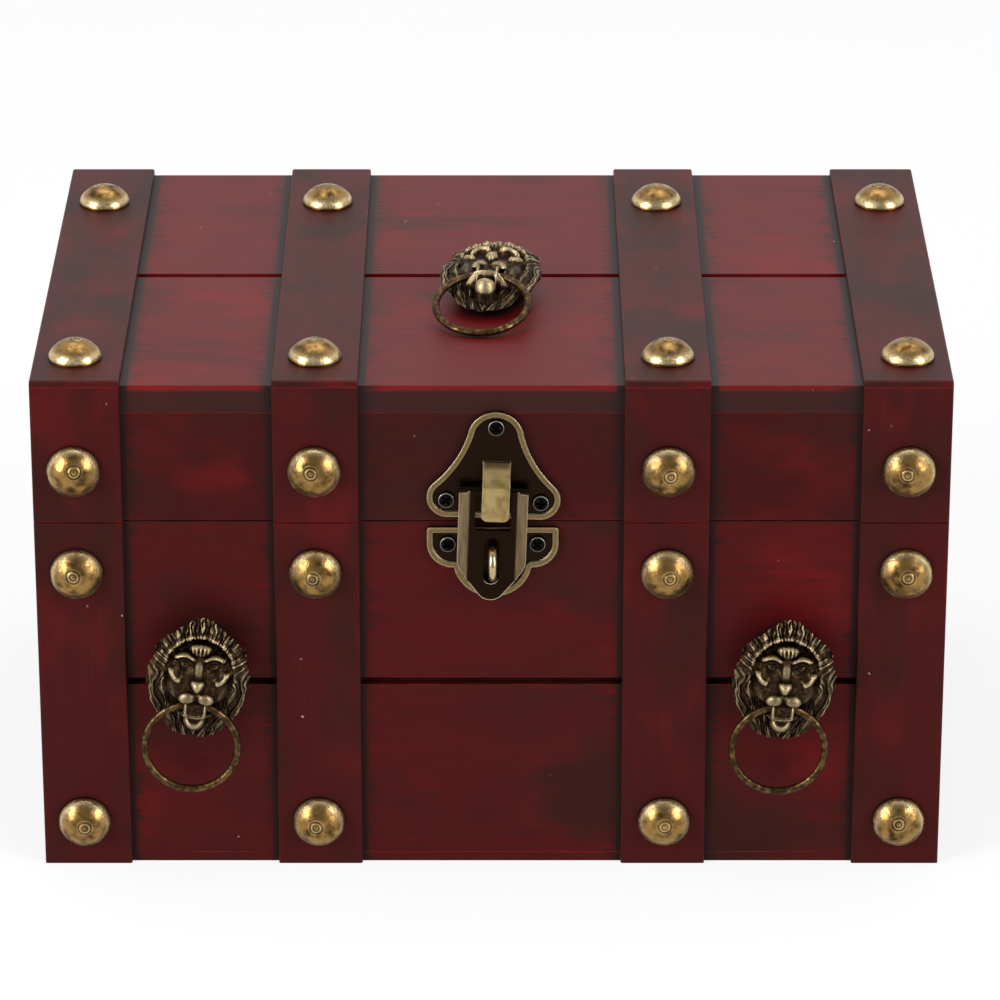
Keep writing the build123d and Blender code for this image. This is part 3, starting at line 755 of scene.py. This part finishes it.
def stand_in(
    name: str,
    mesh: bpy.types.Mesh,
    material: bpy.types.Material,
    body: str,
    node: str,
) -> None:
    """Put a finer piece in the place of a CAD node.

    Args:
        name: The piece's name.
        mesh: Its mesh.
        material: Its finish.
        body: The CAD body that it moves with.
        node: The CAD node that it stands for.
    """
    mesh.name = name
    mesh.materials.clear()
    mesh.materials.append(material)
    piece = bpy.data.objects.new(name, mesh)
    bpy.context.scene.collection.objects.link(piece)
    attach(piece, body)
    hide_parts(node)


def joined(parts: Sequence[tuple[bpy.types.Mesh, Matrix]]) -> bpy.types.Mesh:
    """Join meshes into one, each moved by its matrix, keeping their worn maps."""
    whole = bmesh.new()
    for mesh, place in parts:
        copy = mesh.copy()
        copy.transform(place)
        whole.from_mesh(copy)
        bpy.data.meshes.remove(copy)
    mesh = bpy.data.meshes.new("joined")
    whole.to_mesh(mesh)
    whole.free()
    mesh.shade_smooth()
    mesh.set_sharp_from_angle(angle=math.radians(50))
    return mesh


@dataclass
class WoodenBox:
    """The planked body, the planked lid and the thin straps over both."""

    side_patch: float = 34.0
    strap_patch: float = 20.0

    def strap_edges(self) -> tuple[float, ...]:
        """How far the straps' long edges lie from the middle of the box, in millimetres."""
        inner_low, inner_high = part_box("body_front_strap_right_inner")
        end_low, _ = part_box("body_front_strap_right_end")
        return (inner_low[0] / MM, inner_high[0] / MM, end_low[0] / MM)

    def dress_boards(self) -> int:
        """Stain the planks and say how many there are."""
        edges = self.strap_edges()
        seam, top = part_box("lid_front_board")[1][2] / MM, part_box("lid_top_board")[1][2] / MM
        sooty = (seam - 0.5, seam + 0.8 * (top - seam))
        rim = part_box("body_front_board")[1][2] / MM
        long_boards = StainedWood(
            "stained_long_planks",
            Grain.ACROSS,
            grime_edges=edges,
            cloud_size=self.side_patch,
            dark_levels=(rim - 0.4, rim + 0.2),
        )
        lid_front = StainedWood(
            "stained_lid_front",
            Grain.ACROSS,
            stain="#340807",
            rubbed="#4a0a0a",
            clouds_from=0.38,
            grime_edges=edges,
        )
        # Painted light: the top takes a lighter stain, rubbing and glaze and a paler tinge than the front,
        # standing for the light from above.
        lid_top = StainedWood(
            "stained_lid_top_painted_lighter",
            Grain.ACROSS,
            stain="#600d0e",
            rubbed="#6e0c0d",
            glaze="#34120f",
            tinge="#dcb8b0",
            clouds_from=0.5,
            grime_edges=edges,
            grime_solid=1.3,
            grime_fringe=7.0,
            dark_levels=sooty,
        )
        ends = StainedWood("stained_end_boards", Grain.DEEP, cloud_size=self.side_patch)
        finishes = {
            long_boards: ("body_front_board", "body_back_board", "body_bottom_board"),
            lid_front: ("lid_front_board", "lid_back_board"),
            lid_top: ("lid_top_board",),
            ends: ("body_left_board", "body_right_board", "lid_left_board", "lid_right_board"),
        }
        count = 0
        for finish, nodes in finishes.items():
            material = finish.build()
            for node in nodes:
                dress(node, material)
                count += 1
        return count

    def dress_straps(self) -> int:
        """Stain the straps and say how many there are."""
        upright = StainedWood(
            "stained_upright_straps",
            Grain.UPRIGHT,
            stain="#3a0b0b",
            rubbed="#480c0c",
            cloud_size=self.strap_patch,
        )
        # Painted light: the straps over the top take a lighter stain and rubbing and a paler tinge than the
        # upright ones, standing for the light from above.
        over = StainedWood(
            "stained_top_straps_painted_lighter",
            Grain.DEEP,
            stain="#460a0b",
            rubbed="#580c0d",
            tinge="#cc958d",
            cloud_size=self.strap_patch,
            clouds_from=0.4,
        )
        materials = {"top": over.build(), "side": upright.build()}
        straps = [node for node in frame["nodes"] if "_strap_" in node]
        for node in straps:
            dress(node, materials["top" if node.startswith("lid_top") else "side"])
        return len(straps)

    def build(self) -> None:
        """Dress the whole box."""
        log.info("wooden box: %d boards", self.dress_boards())
        log.info("straps: %d", self.dress_straps())


@dataclass
class DomedNail:
    """An upholsterer's nail: a spun brass dome with the mark of the punch near its crown.

    Attributes:
        diameter: Across the head.
        height: From the strap to the crown.
        edge_round: The radius that turns the dome down to its edge.
        mark_radius: The stamped ring's radius.
        mark_depth: How deep it is stamped.
        mark_rise: How far above the crown the punch lands.
        mark_stray: How far off that place it may land.
        lean: How far a nail may lean, in degrees.
        rim_darkening: How strongly the colour is darkened towards the rim.
    """

    diameter: float = 13.0
    height: float = 4.88
    edge_round: float = 3.2
    mark_radius: float = 1.55
    mark_depth: float = 0.14
    mark_rise: float = 0.8
    mark_stray: float = 0.7
    lean: float = 2.0
    rim_darkening: float = 1.5

    def level(self, mark: tuple[float, float]) -> Height:
        """The dome's face, with the punch mark at a place."""
        radius = self.diameter / 2
        centre = radius - self.edge_round
        blend = math.pi / 2 - 2 * math.atan((self.height - self.edge_round) / centre)
        join = centre + self.edge_round * math.cos(blend)
        rise = self.height - self.edge_round * math.sin(blend)
        ball = (join**2 + rise**2) / (2 * rise)

        def face(x: np.ndarray, y: np.ndarray) -> np.ndarray:
            """The level at each point."""
            out = np.hypot(x, y)
            crown = self.height - ball + np.sqrt(np.maximum(ball**2 - np.minimum(out, join) ** 2, 0))
            turned = np.sqrt(np.maximum(self.edge_round**2 - np.maximum(out - centre, 0) ** 2, 0))
            smooth = np.where(out < join, crown, turned)
            off = np.hypot(x - mark[0], y - mark[1])
            groove = np.exp(-(((off - self.mark_radius) / 0.24) ** 2))
            dent = 0.7 * np.exp(-(((off - 0.45 * self.mark_radius) / 0.2) ** 2))
            dimples = 0.02 * np.sin(2.1 * x + 3 * mark[0]) * np.sin(1.9 * y + 5 * mark[1])
            return smooth - self.mark_depth * (groove + dent) - dimples * (out < centre)

        return face

    def head(self, dice: random.Random) -> bpy.types.Mesh:
        """One head, with its own punch mark."""
        stray = self.mark_stray
        mark = (dice.uniform(-stray, stray), self.mark_rise + dice.uniform(-stray, stray))
        face = self.level(mark)
        radius = self.diameter / 2
        mesh = relief(lambda angles: np.full_like(angles, radius), face, floor=0.0, rings=44, spokes=72)

        def darkened_rim(x: np.ndarray, y: np.ndarray) -> np.ndarray:
            """The level that the worn map takes, sunk towards the rim, which makes the rim darker."""
            return face(x, y) - self.rim_darkening * (np.hypot(x, y) / radius) ** 14

        map_wear(mesh, darkened_rim, reach=0.35, contrast=4.0)
        return mesh


@dataclass
class NailRows:
    """The domed nails that hold the straps down, in the five groups of the frame."""

    seed: int = 7

    def build(self) -> None:
        """Make every nail on its strap."""
        finish = AntiquedMetal(
            name="antique_brass_nails",
            patina="#3f2a15",
            metal="#9a7844",
            polished="#dac494",
            mottle=2.6,
            patina_share=0.44,
            roughness=0.26,
            mapped=True,
            bump=0.04,
        ).build()
        nail = DomedNail()
        dice = random.Random(self.seed)
        groups = {
            "body_front_studs": ("body", RIGHT, FORWARD),
            "body_back_studs": ("body", -RIGHT, BACKWARD),
            "lid_front_studs": ("lid", RIGHT, FORWARD),
            "lid_back_studs": ("lid", -RIGHT, BACKWARD),
            "lid_top_studs": ("lid", RIGHT, UP),
        }
        for node, (body, right, out) in groups.items():
            parts = []
            for corners in solids(node):
                seat = Seat(foremost(corners, out) - out * nail.height * MM, right, out)
                tilt = Matrix.Rotation(math.radians(dice.uniform(0, nail.lean)), 4, RIGHT)
                spin = Matrix.Rotation(dice.uniform(0, math.tau), 4, UP)
                parts.append((nail.head(dice), seat.matrix() @ spin @ tilt @ spin.inverted()))
            stand_in(f"domed_nails_{node}", joined(parts), finish, body, node)
            log.info("%s: %d nails", node, len(parts))


@dataclass
class LionHead:
    """A cast lion's head with an open mouth for the ring, modelled as levels over its flat back.

    Attributes:
        half_width: Half the mane's width.
        half_height: Half its height.
        drop: How far its middle lies below the middle of the back.
        rim: How far the mane reaches, by the angle above its side, in degrees and millimetres.
        foot: The half width and half height of the flat back, smaller than the mane.
        strand: How wide a strand of the mane is.
        pivot: Where the ring hangs, up and out from the middle of the back.
        ring_radius: The ring's radius to the middle of its wire.
        wire_radius: Half the wire, with the room it needs.
        swing: The least and greatest angle of the ring that is given room, in degrees.
    """

    half_width: float = 12.8
    half_height: float = 17.0
    drop: float = 0.9
    rim: tuple[tuple[float, float], ...] = (
        (-90, 17.6),
        (-76, 17.3),
        (-66, 16.3),
        (-58, 15.0),
        (-50, 14.2),
        (-40, 14.0),
        (-28, 13.4),
        (-15, 12.9),
        (0, 12.7),
        (15, 12.6),
        (25, 12.5),
        (33, 13.4),
        (40, 14.2),
        (48, 13.9),
        (57, 14.2),
        (66, 14.6),
        (74, 15.3),
        (82, 16.5),
        (90, 16.9),
    )
    foot: tuple[float, float] = (8.2, 11.2)
    strand: float = 0.85
    pivot: tuple[float, float] = (-6.4, 8.0)
    ring_radius: float = 11.3
    wire_radius: float = 1.2
    swing: tuple[float, float] = (-19.0, 112.0)

    def phase(self, x: np.ndarray, y: np.ndarray) -> np.ndarray:
        """A number that is the same all along one strand and grows by one from strand to strand."""
        side = np.abs(x)
        fan = 10.5 * np.arctan2(side, np.maximum(y - 0.5, 0.3))
        hang = side + 0.28 * (4.5 - y)
        flow = hang + (fan - hang) * soft_step(y, -4.0, 9.0)
        uneven = 0.3 * np.sin(0.8 * flow + 0.5 * np.sign(x)) + 0.28 * np.sin(0.7 * y + 1.1 * flow)
        return (flow + uneven + 0.14 * np.sin(1.6 * y - 2.3 * flow + np.sign(x))) / self.strand

    def outline(self, angles: np.ndarray) -> np.ndarray:
        """How far the casting reaches at each angle, with the ends of the strands standing out."""
        above, reach = np.array(self.rim).T
        steep = np.degrees(np.arcsin(np.sin(angles)))
        whole = np.interp(steep, above, reach)
        x, y = whole * np.cos(angles), whole * np.sin(angles)
        ends = 0.5 + 0.5 * np.cos(2 * np.pi * self.phase(x, y))
        return whole - 0.5 + 0.45 * ends

    def back(self, angles: np.ndarray) -> np.ndarray:
        """How far the flat back reaches at each angle."""
        half_x, half_y = self.foot
        return 1 / np.hypot(np.cos(angles) / half_x, np.sin(angles) / half_y) + self.drop * np.sin(angles)

    def mane(self, x: np.ndarray, y: np.ndarray) -> np.ndarray:
        """The level of the mane: thick at the tuft, thin at the beard, furrowed between its strands."""
        out = np.hypot(x / self.half_width, (y + self.drop) / self.half_height)
        base = np.interp(y, (-18, -10.7, 0, 10, 16), (3.6, 5.2, 6.7, 7.9, 8.8))
        smooth = base + 2.2 * (1 - out**2) + 0.4 - 0.9 * np.maximum(out - 0.86, 0) / 0.14
        swept = self.pivot[1] - 1.4 - 0.33 * (self.pivot[0] - y)
        smooth = -soft_top(-smooth, -swept, 0.15)
        phase = self.phase(x, y)
        crest = 0.5 + 0.5 * np.cos(2 * np.pi * phase)
        lock = 0.5 + 0.5 * np.cos(0.62 * np.pi * phase + 0.4)
        broken = 0.5 + 0.5 * np.sin(0.9 * y + 2.1 * np.floor(phase + 0.5))
        depth = 0.22 + 0.26 * broken + 0.2 * soft_step(y, 10, 13)
        return smooth - depth * (1 - crest) - 0.4 * (1 - lock)

    def brow_and_cheek(self, side: np.ndarray, y: np.ndarray, level: np.ndarray) -> np.ndarray:
        """Raise the bones round the eyes and sink the eyes between them."""
        level = level + 2.0 * arch(side, y, (3.5, 4.4), 2.85, 1.5, (25, 150))
        level = level + 1.8 * arch(side, y, (3.7, 3.6), 3.4, 1.9, (-85, -5))
        level = soft_top(level, dome(side, y, (4.4, -1.6), (3.2, 3.6), (7.0, 8.6), 12), 0.6)
        level = level - 1.9 * np.exp(-(((side - 3.5) / 1.8) ** 2) - ((y - 4.1) / 1.35) ** 2)
        level = soft_top(level, dome(side, y, (3.5, 3.9), (1.25, 0.85), (7.4, 8.25)), 0.15)
        level = level + 0.5 * arch(side, y, (3.5, 3.3), 1.65, 0.7, (30, 150))
        return level - 0.5 * np.exp(-(((side - 3.5) ** 2 + (y - 3.9) ** 2) / 0.16))

    def mouth(self, x: np.ndarray, y: np.ndarray, level: np.ndarray) -> np.ndarray:
        """Open the mouth between two fangs, over the round chin."""
        side = np.abs(x)
        opening = soft_step(-y, 5.3, 5.9) * soft_step(y, -9.4, -8.8) * soft_step(-side, -3.2, -2.5)
        level = level * (1 - opening) + 9.5 * opening
        level = soft_top(level, dome(side, y, (2.35, -7.0), (0.42, 2.2), (9.3, 10.5)), 0.06)
        level = soft_top(level, dome(x, y, (0, -10.9), (2.7, 2.8), (5.8, 9.5)), 0.15)
        level = level - 1.2 * np.exp(-((x / 1.7) ** 2) - ((y + 10.4) / 0.9) ** 2)
        lip = dome(x, y, (0, -9.05 + 0.03 * x**2), (3.4, 0.33), (9.0, 10.3))
        return soft_top(level, lip, 0.05)

    def face(self, x: np.ndarray, y: np.ndarray) -> np.ndarray:
        """The level of the whole face and mane at each point."""
        side = np.abs(x)
        level = self.mane(x, y)
        oval = np.hypot(x / 7.7, (y - 1.0) / 9.6)
        inside = soft_step(-oval, -1.0, -0.88) * soft_step(y, -8.6, -6.6)
        skull = dome(x, y, (0, 1.0), (8.4, 10.6), (6.4, 9.2))
        level = level * (1 - inside) + skull * inside
        level = level - 1.1 * np.exp(-(((oval - 1.0) / 0.085) ** 2)) * soft_step(y, -6, -2)
        level = level + 0.7 * np.exp(-(((oval - 1.17) / 0.06) ** 2)) * soft_step(y, 5, 8)
        level = soft_top(level, dome(side, y, (10.5, 8.6), (1.5, 2.1), (5.8, 8.3), 30), 0.12)
        level = level - 1.2 * np.exp(-(((side - 10.3) / 0.6) ** 2) - ((y - 8.5) / 1.2) ** 2)
        level = self.brow_and_cheek(side, y, level)
        forehead = dome(x, y, (0, 8.7), (2.75 + 0.3 * (y - 8.7), 1.9), (8.3, 10.6))
        level = soft_top(level, forehead, 0.2)
        wrinkles = np.cos(2 * np.pi * x / np.maximum(0.8 + 0.09 * (y - 7), 0.4))
        level = level + 0.3 * wrinkles * np.exp(-((x / 2.5) ** 4) - ((y - 9.0) / 1.7) ** 4)
        level = soft_top(level, dome(x, y, (0, -3.2), (4.6, 3.2), (6.8, 9.7)), 0.3)
        level = soft_top(level, dome(side, y, (2.15, -4.0), (2.4, 1.9), (8.4, 10.8), -14), 0.3)
        level = soft_top(level, dome(x, y, (0, 3.4), (1.2, 4.9), (8.4, 9.9)), 0.5)
        nose = dome(x, y, (0, -0.5), (2.0 - 0.5 * np.clip(0.2 - y, -1, 1.4), 1.9), (8.8, 11.85))
        return self.mouth(x, y, soft_top(level, nose, 0.1))

    def ring_room(self) -> bpy.types.Object:
        """The room that the swinging ring sweeps out, as a solid round the axis it swings on."""
        stations = np.linspace(-1.1 * self.half_width, 1.1 * self.half_width, 61)
        angles = np.radians(np.arange(0, 360, 6))
        low, high = np.radians(self.swing)
        centre_angle, spread = (low + high) / 2, (high - low) / 2
        points = []
        for station in stations:
            held = min(abs(station), 0.97 * self.ring_radius)
            fall = self.ring_radius - math.sqrt(self.ring_radius**2 - held**2)
            far = fall + self.wire_radius
            near = max(self.wire_radius - 0.9 * fall, 0.08)
            margin = math.asin(min(1.0, self.wire_radius / far))
            turn = np.abs((angles - centre_angle + np.pi) % (2 * np.pi) - np.pi)
            reach = np.where(turn < spread + margin, far, near)
            y = self.pivot[0] - reach * np.cos(angles)
            z = self.pivot[1] + reach * np.sin(angles)
            points.extend(zip(np.full_like(y, station), y, z))
        count = len(angles)
        polygons: list[tuple[int, ...]] = [tuple(range(count))]
        for row in range(len(stations) - 1):
            for spoke in range(count):
                here, there = row * count, (row + 1) * count
                following = (spoke + 1) % count
                polygons.append((here + following, here + spoke, there + spoke, there + following))
        polygons.append(tuple(reversed(range(len(points) - count, len(points)))))
        mesh = bpy.data.meshes.new("ring_room")
        mesh.from_pydata([tuple(float(c) * MM for c in point) for point in points], [], polygons)
        shell = bmesh.new()
        shell.from_mesh(mesh)
        bmesh.ops.recalc_face_normals(shell, faces=shell.faces)
        shell.to_mesh(mesh)
        shell.free()
        room = bpy.data.objects.new("ring_room", mesh)
        bpy.context.scene.collection.objects.link(room)
        return room

    def build(self) -> bpy.types.Mesh:
        """Make the head lying on its back, with the ring's room cut from it."""
        blank = relief(self.outline, self.face, floor=0.0, rings=120, spokes=480, foot=self.back)
        solid = bpy.data.objects.new("solid_head", blank)
        bpy.context.scene.collection.objects.link(solid)
        room = self.ring_room()
        cut = solid.modifiers.new("ring room", "BOOLEAN")
        cut.operation = "DIFFERENCE"
        cut.solver = "EXACT"
        cut.use_self = True
        cut.object = room
        graph = bpy.context.evaluated_depsgraph_get()
        mesh = bpy.data.meshes.new_from_object(solid.evaluated_get(graph))
        bpy.data.objects.remove(solid)
        bpy.data.objects.remove(room)
        map_wear(mesh, self.face, reach=1.0, contrast=0.6)
        mesh.shade_smooth()
        mesh.set_sharp_from_angle(angle=math.radians(60))
        return mesh


@dataclass
class LionPulls:
    """The three lion heads and the rings in their mouths."""

    def seat(self, swing: str, out: Vector, pivot: tuple[float, float]) -> Seat:
        """Find a lion's seat from the joint that its ring swings on.

        Args:
            swing: The ring's joint.
            out: The way the lion faces.
            pivot: The ring's pivot, up and out from the middle of the lion's back.

        Returns:
            The seat.
        """
        hinge = joint(swing)
        right = -Vector(hinge["axis"])
        up = out.cross(right)
        return Seat(Vector(hinge["pos_m"]) - (up * pivot[0] + out * pivot[1]) * MM, right, out)

    def build(self) -> None:
        """Cast the heads and dress the rings."""
        lion = LionHead()
        bronze = AntiquedMetal(
            name="cast_bronze_lion",
            patina="#261b11",
            metal="#463624",
            polished="#cdb88f",
            mottle=0.9,
            patina_share=0.5,
            roughness=0.34,
            mapped=True,
            bump=0.04,
            floor=0.4,
        ).build()
        wire = AntiquedMetal(
            name="drawn_brass_ring",
            patina="#382818",
            metal="#6f5838",
            polished="#a18a5f",
            mottle=1.3,
            patina_share=0.54,
            roughness=0.3,
        ).build()
        cast = lion.build()
        places = {
            "left": ("body", "left_ring_swing", FORWARD),
            "right": ("body", "right_ring_swing", FORWARD),
            "lid": ("lid", "lid_ring_swing", UP),
        }
        for side, (body, swing, out) in places.items():
            seat = self.seat(swing, out, lion.pivot)
            mesh = joined([(cast, seat.matrix())])
            stand_in(f"cast_lion_{side}", mesh, bronze, body, f"lion_head_{side}")
            dress(f"pull_ring_{side}", wire)
            log.info("lion pull %s: %d points", side, len(mesh.vertices))


@dataclass
class CrossHeadScrew:
    """A domed screw head with a cross recess.

    Attributes:
        diameter: Across the head.
        edge: The height of its straight edge.
        crown: How far the dome rises above that edge.
        slot: The width of each arm of the cross.
        reach: How far an arm runs from the middle.
        depth: How deep the cross is sunk.
    """

    diameter: float
    edge: float
    crown: float
    slot: float = 0.55
    reach: float = 1.15
    depth: float = 0.7

    def head(self, turn: float) -> bpy.types.Mesh:
        """One head, its cross turned by an angle."""
        radius = self.diameter / 2

        def blank(x: np.ndarray, y: np.ndarray) -> np.ndarray:
            """The level at each point before the cross is struck."""
            share = np.minimum(np.hypot(x, y) / radius, 1)
            smooth = self.edge + self.crown * np.sqrt(np.maximum(1 - share**2.6, 0))
            return smooth + 0.1 * np.exp(-(((share - 0.86) / 0.05) ** 2))

        def face(x: np.ndarray, y: np.ndarray) -> np.ndarray:
            """The level at each point."""
            across = x * math.cos(turn) + y * math.sin(turn)
            up = y * math.cos(turn) - x * math.sin(turn)
            sunk = np.zeros_like(x)
            for along, aside in ((across, up), (up, across)):
                arm = soft_step(-np.abs(aside), -0.65 * self.slot, -0.35 * self.slot)
                end = soft_step(-np.abs(along), -1.15 * self.reach, -0.85 * self.reach)
                sunk = np.maximum(sunk, arm * end)
            return blank(x, y) - self.depth * sunk

        mesh = relief(lambda angles: np.full_like(angles, radius), face, floor=0.0, rings=40, spokes=96)
        map_wear(mesh, blank, reach=0.3, contrast=2.2)
        return mesh


@dataclass
class Fastenings:
    """The hasp's, hinges' and lion heads' screws."""

    seed: int = 11

    def build(self) -> None:
        """Make every screw head on its seat."""
        plated = AntiquedMetal(
            name="bronzed_screws",
            patina="#0c0b09",
            metal="#1f1d19",
            polished="#b9b6a8",
            mottle=0.7,
            roughness=0.32,
            mapped=True,
        ).build()
        hasp_screw = CrossHeadScrew(diameter=4.2, edge=0.4, crown=0.6)
        hinge_screw = CrossHeadScrew(diameter=3.6, edge=0.3, crown=0.5, slot=0.5, reach=1.0, depth=0.5)
        lion_screw = CrossHeadScrew(diameter=5.5, edge=0.9, crown=0.9, slot=0.7, reach=1.5, depth=1.0)
        groups = {
            "lid_hasp_screws": (hasp_screw, "lid", RIGHT, FORWARD),
            "body_hasp_screws": (hasp_screw, "body", RIGHT, FORWARD),
            "lid_hinge_screws": (hinge_screw, "lid", -RIGHT, BACKWARD),
            "body_hinge_screws": (hinge_screw, "body", -RIGHT, BACKWARD),
            "body_lion_screws": (lion_screw, "body", -RIGHT, BACKWARD),
            "lid_lion_screw": (lion_screw, "lid", RIGHT, -UP),
        }
        dice = random.Random(self.seed)
        for node, (screw, body, side, out) in groups.items():
            parts = []
            for corners in solids(node):
                seat = Seat(foremost(corners, out) - out * (screw.edge + screw.crown) * MM, side, out)
                parts.append((screw.head(dice.uniform(0, math.pi / 2)), seat.matrix()))
            stand_in(f"screw_heads_{node}", joined(parts), plated, body, node)
            log.info("%s: %d screws", node, len(parts))


@dataclass
class Hasp:
    """The pressed plates, the folding flap and the staple.

    Attributes:
        sheet_thickness: How far the plates' faces stand out from the boards.
        bare_tip: How far up from the flap's tip its edges are rubbed bare.
    """

    sheet_thickness: float = 0.8
    bare_tip: float = 5.0

    def build(self) -> None:
        """Dress the hasp."""
        board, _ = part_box("body_front_board")
        sheet = HaspSheet("bronzed_sheet", -board[1] / MM + self.sheet_thickness).build()
        flap = FlapSheet("bronzed_flap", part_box("hasp_flap")[0][2] / MM + self.bare_tip).build()
        staple = AntiquedMetal(
            name="brass_staple",
            patina="#6d5a3c",
            metal="#c2ad82",
            polished="#efe6cf",
            mottle=1.8,
            patina_share=0.35,
            roughness=0.24,
        ).build()
        for node in ("hasp_upper_plate", "hasp_lower_plate"):
            dress(node, sheet)
        dress("hasp_flap", flap)
        dress("hasp_staple", staple)
        log.info("hasp: 2 plates, flap and staple")


@dataclass
class Hinges:
    """The two butt hinges on the back."""

    def build(self) -> None:
        """Dress the hinges."""
        steel = AntiquedMetal(
            name="bronzed_hinge",
            patina="#1d1610",
            metal="#55452e",
            polished="#b9a071",
            mottle=2.0,
            roughness=0.36,
        ).build()
        nodes = [node for node in frame["nodes"] if node.startswith("hinge_")]
        for node in nodes:
            dress(node, steel)
        log.info("hinges: %d pieces", len(nodes))


@dataclass
class Studio:
    """The paper floor, the soft lamps, the white room and the camera.

    The camera stands where the photograph's lines meet at their vanishing points.

    Attributes:
        camera_place: Where the camera stands, in millimetres.
        camera_pitch: How far it looks down, in degrees.
        lens: Its focal length.
        sensor: The width of its picture.
        floor_size: The length of the paper's sides.
        room_light: How brightly the room lights the object, where 1 is white.
        dim_room: How bright the room behind the camera looks in metal.
    """

    camera_place: tuple[float, float, float] = (2.07, -1285.7, 617.4)
    camera_pitch: float = 23.24
    lens: float = 197.86
    sensor: float = 36.0
    floor_size: float = 8000.0
    room_light: float = 0.5
    dim_room: float = 0.35

    def lamp(
        self,
        name: str,
        place: tuple[float, float, float],
        size: tuple[float, float],
        power: float,
    ) -> None:
        """Hang a soft box that points at the chest.

        Args:
            name: The lamp's name.
            place: Where it hangs, in millimetres.
            size: Its width and height, in millimetres.
            power: Its power in watts.
        """
        box = bpy.data.lights.new(name, "AREA")
        box.shape = "RECTANGLE"
        box.size, box.size_y = size[0] * MM, size[1] * MM
        box.energy = power
        holder = bpy.data.objects.new(name, box)
        holder.location = Vector(place) * MM
        aim = Vector((0, 0, 60)) * MM - holder.location
        holder.rotation_euler = aim.to_track_quat("-Z", "Y").to_euler()
        bpy.context.scene.collection.objects.link(holder)

    def light_room(self) -> None:
        """Light the object evenly from all round, and let it mirror a white backdrop and a dim room."""
        world = bpy.data.worlds.new("studio_room")
        graph = Graph(world)
        depth = graph.along("Y", "Generated")
        behind = {"Value": depth, "From Min": -0.3, "From Max": 0.3, "To Min": self.dim_room}
        mirrored = graph.add("ShaderNodeMapRange", behind, interpolation_type="SMOOTHSTEP")
        level = {"Factor": graph.reflected_or_seen(), "A": self.room_light, "B": mirrored}
        room = {"Color": "#ffffff", "Strength": graph.add("ShaderNodeMix", level, data_type="FLOAT")}
        graph.add("ShaderNodeOutputWorld", {"Surface": graph.add("ShaderNodeBackground", room)})
        bpy.context.scene.world = world

    def build(self) -> None:
        """Set up the studio."""
        scene = bpy.context.scene
        half = self.floor_size * MM / 2
        mesh = bpy.data.meshes.new("floor")
        corners = [(-half, -half, 0), (half, -half, 0), (half, half, 0), (-half, half, 0)]
        mesh.from_pydata(corners, [], [(0, 1, 2, 3)])
        mesh.materials.append(StudioFloor().build())
        floor = bpy.data.objects.new("floor", mesh)
        scene.collection.objects.link(floor)
        self.light_room()
        self.lamp("left", (-1250, -850, 700), (700, 1100), 22)
        self.lamp("right", (1250, -850, 700), (700, 1100), 17)
        self.lamp("top", (0, 300, 1500), (1200, 900), 6)
        camera = bpy.data.cameras.new("camera")
        camera.lens = self.lens
        camera.sensor_width = self.sensor
        camera.clip_start, camera.clip_end = 0.01, 50
        holder = bpy.data.objects.new("camera", camera)
        holder.location = Vector(self.camera_place) * MM
        holder.rotation_euler = (math.radians(90 - self.camera_pitch), 0, 0)
        scene.collection.objects.link(holder)
        scene.camera = holder
        scene.view_settings.view_transform = "Standard"
        log.info("studio: floor, three lamps and camera")


def main() -> None:
    """Build the whole chest and the studio round it."""
    logging.basicConfig(level=logging.INFO, format="%(name)s %(message)s")
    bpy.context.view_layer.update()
    for section in (WoodenBox(), NailRows(), LionPulls(), Fastenings(), Hasp(), Hinges(), Studio()):
        section.build()


if __name__ == "__main__":
    main()
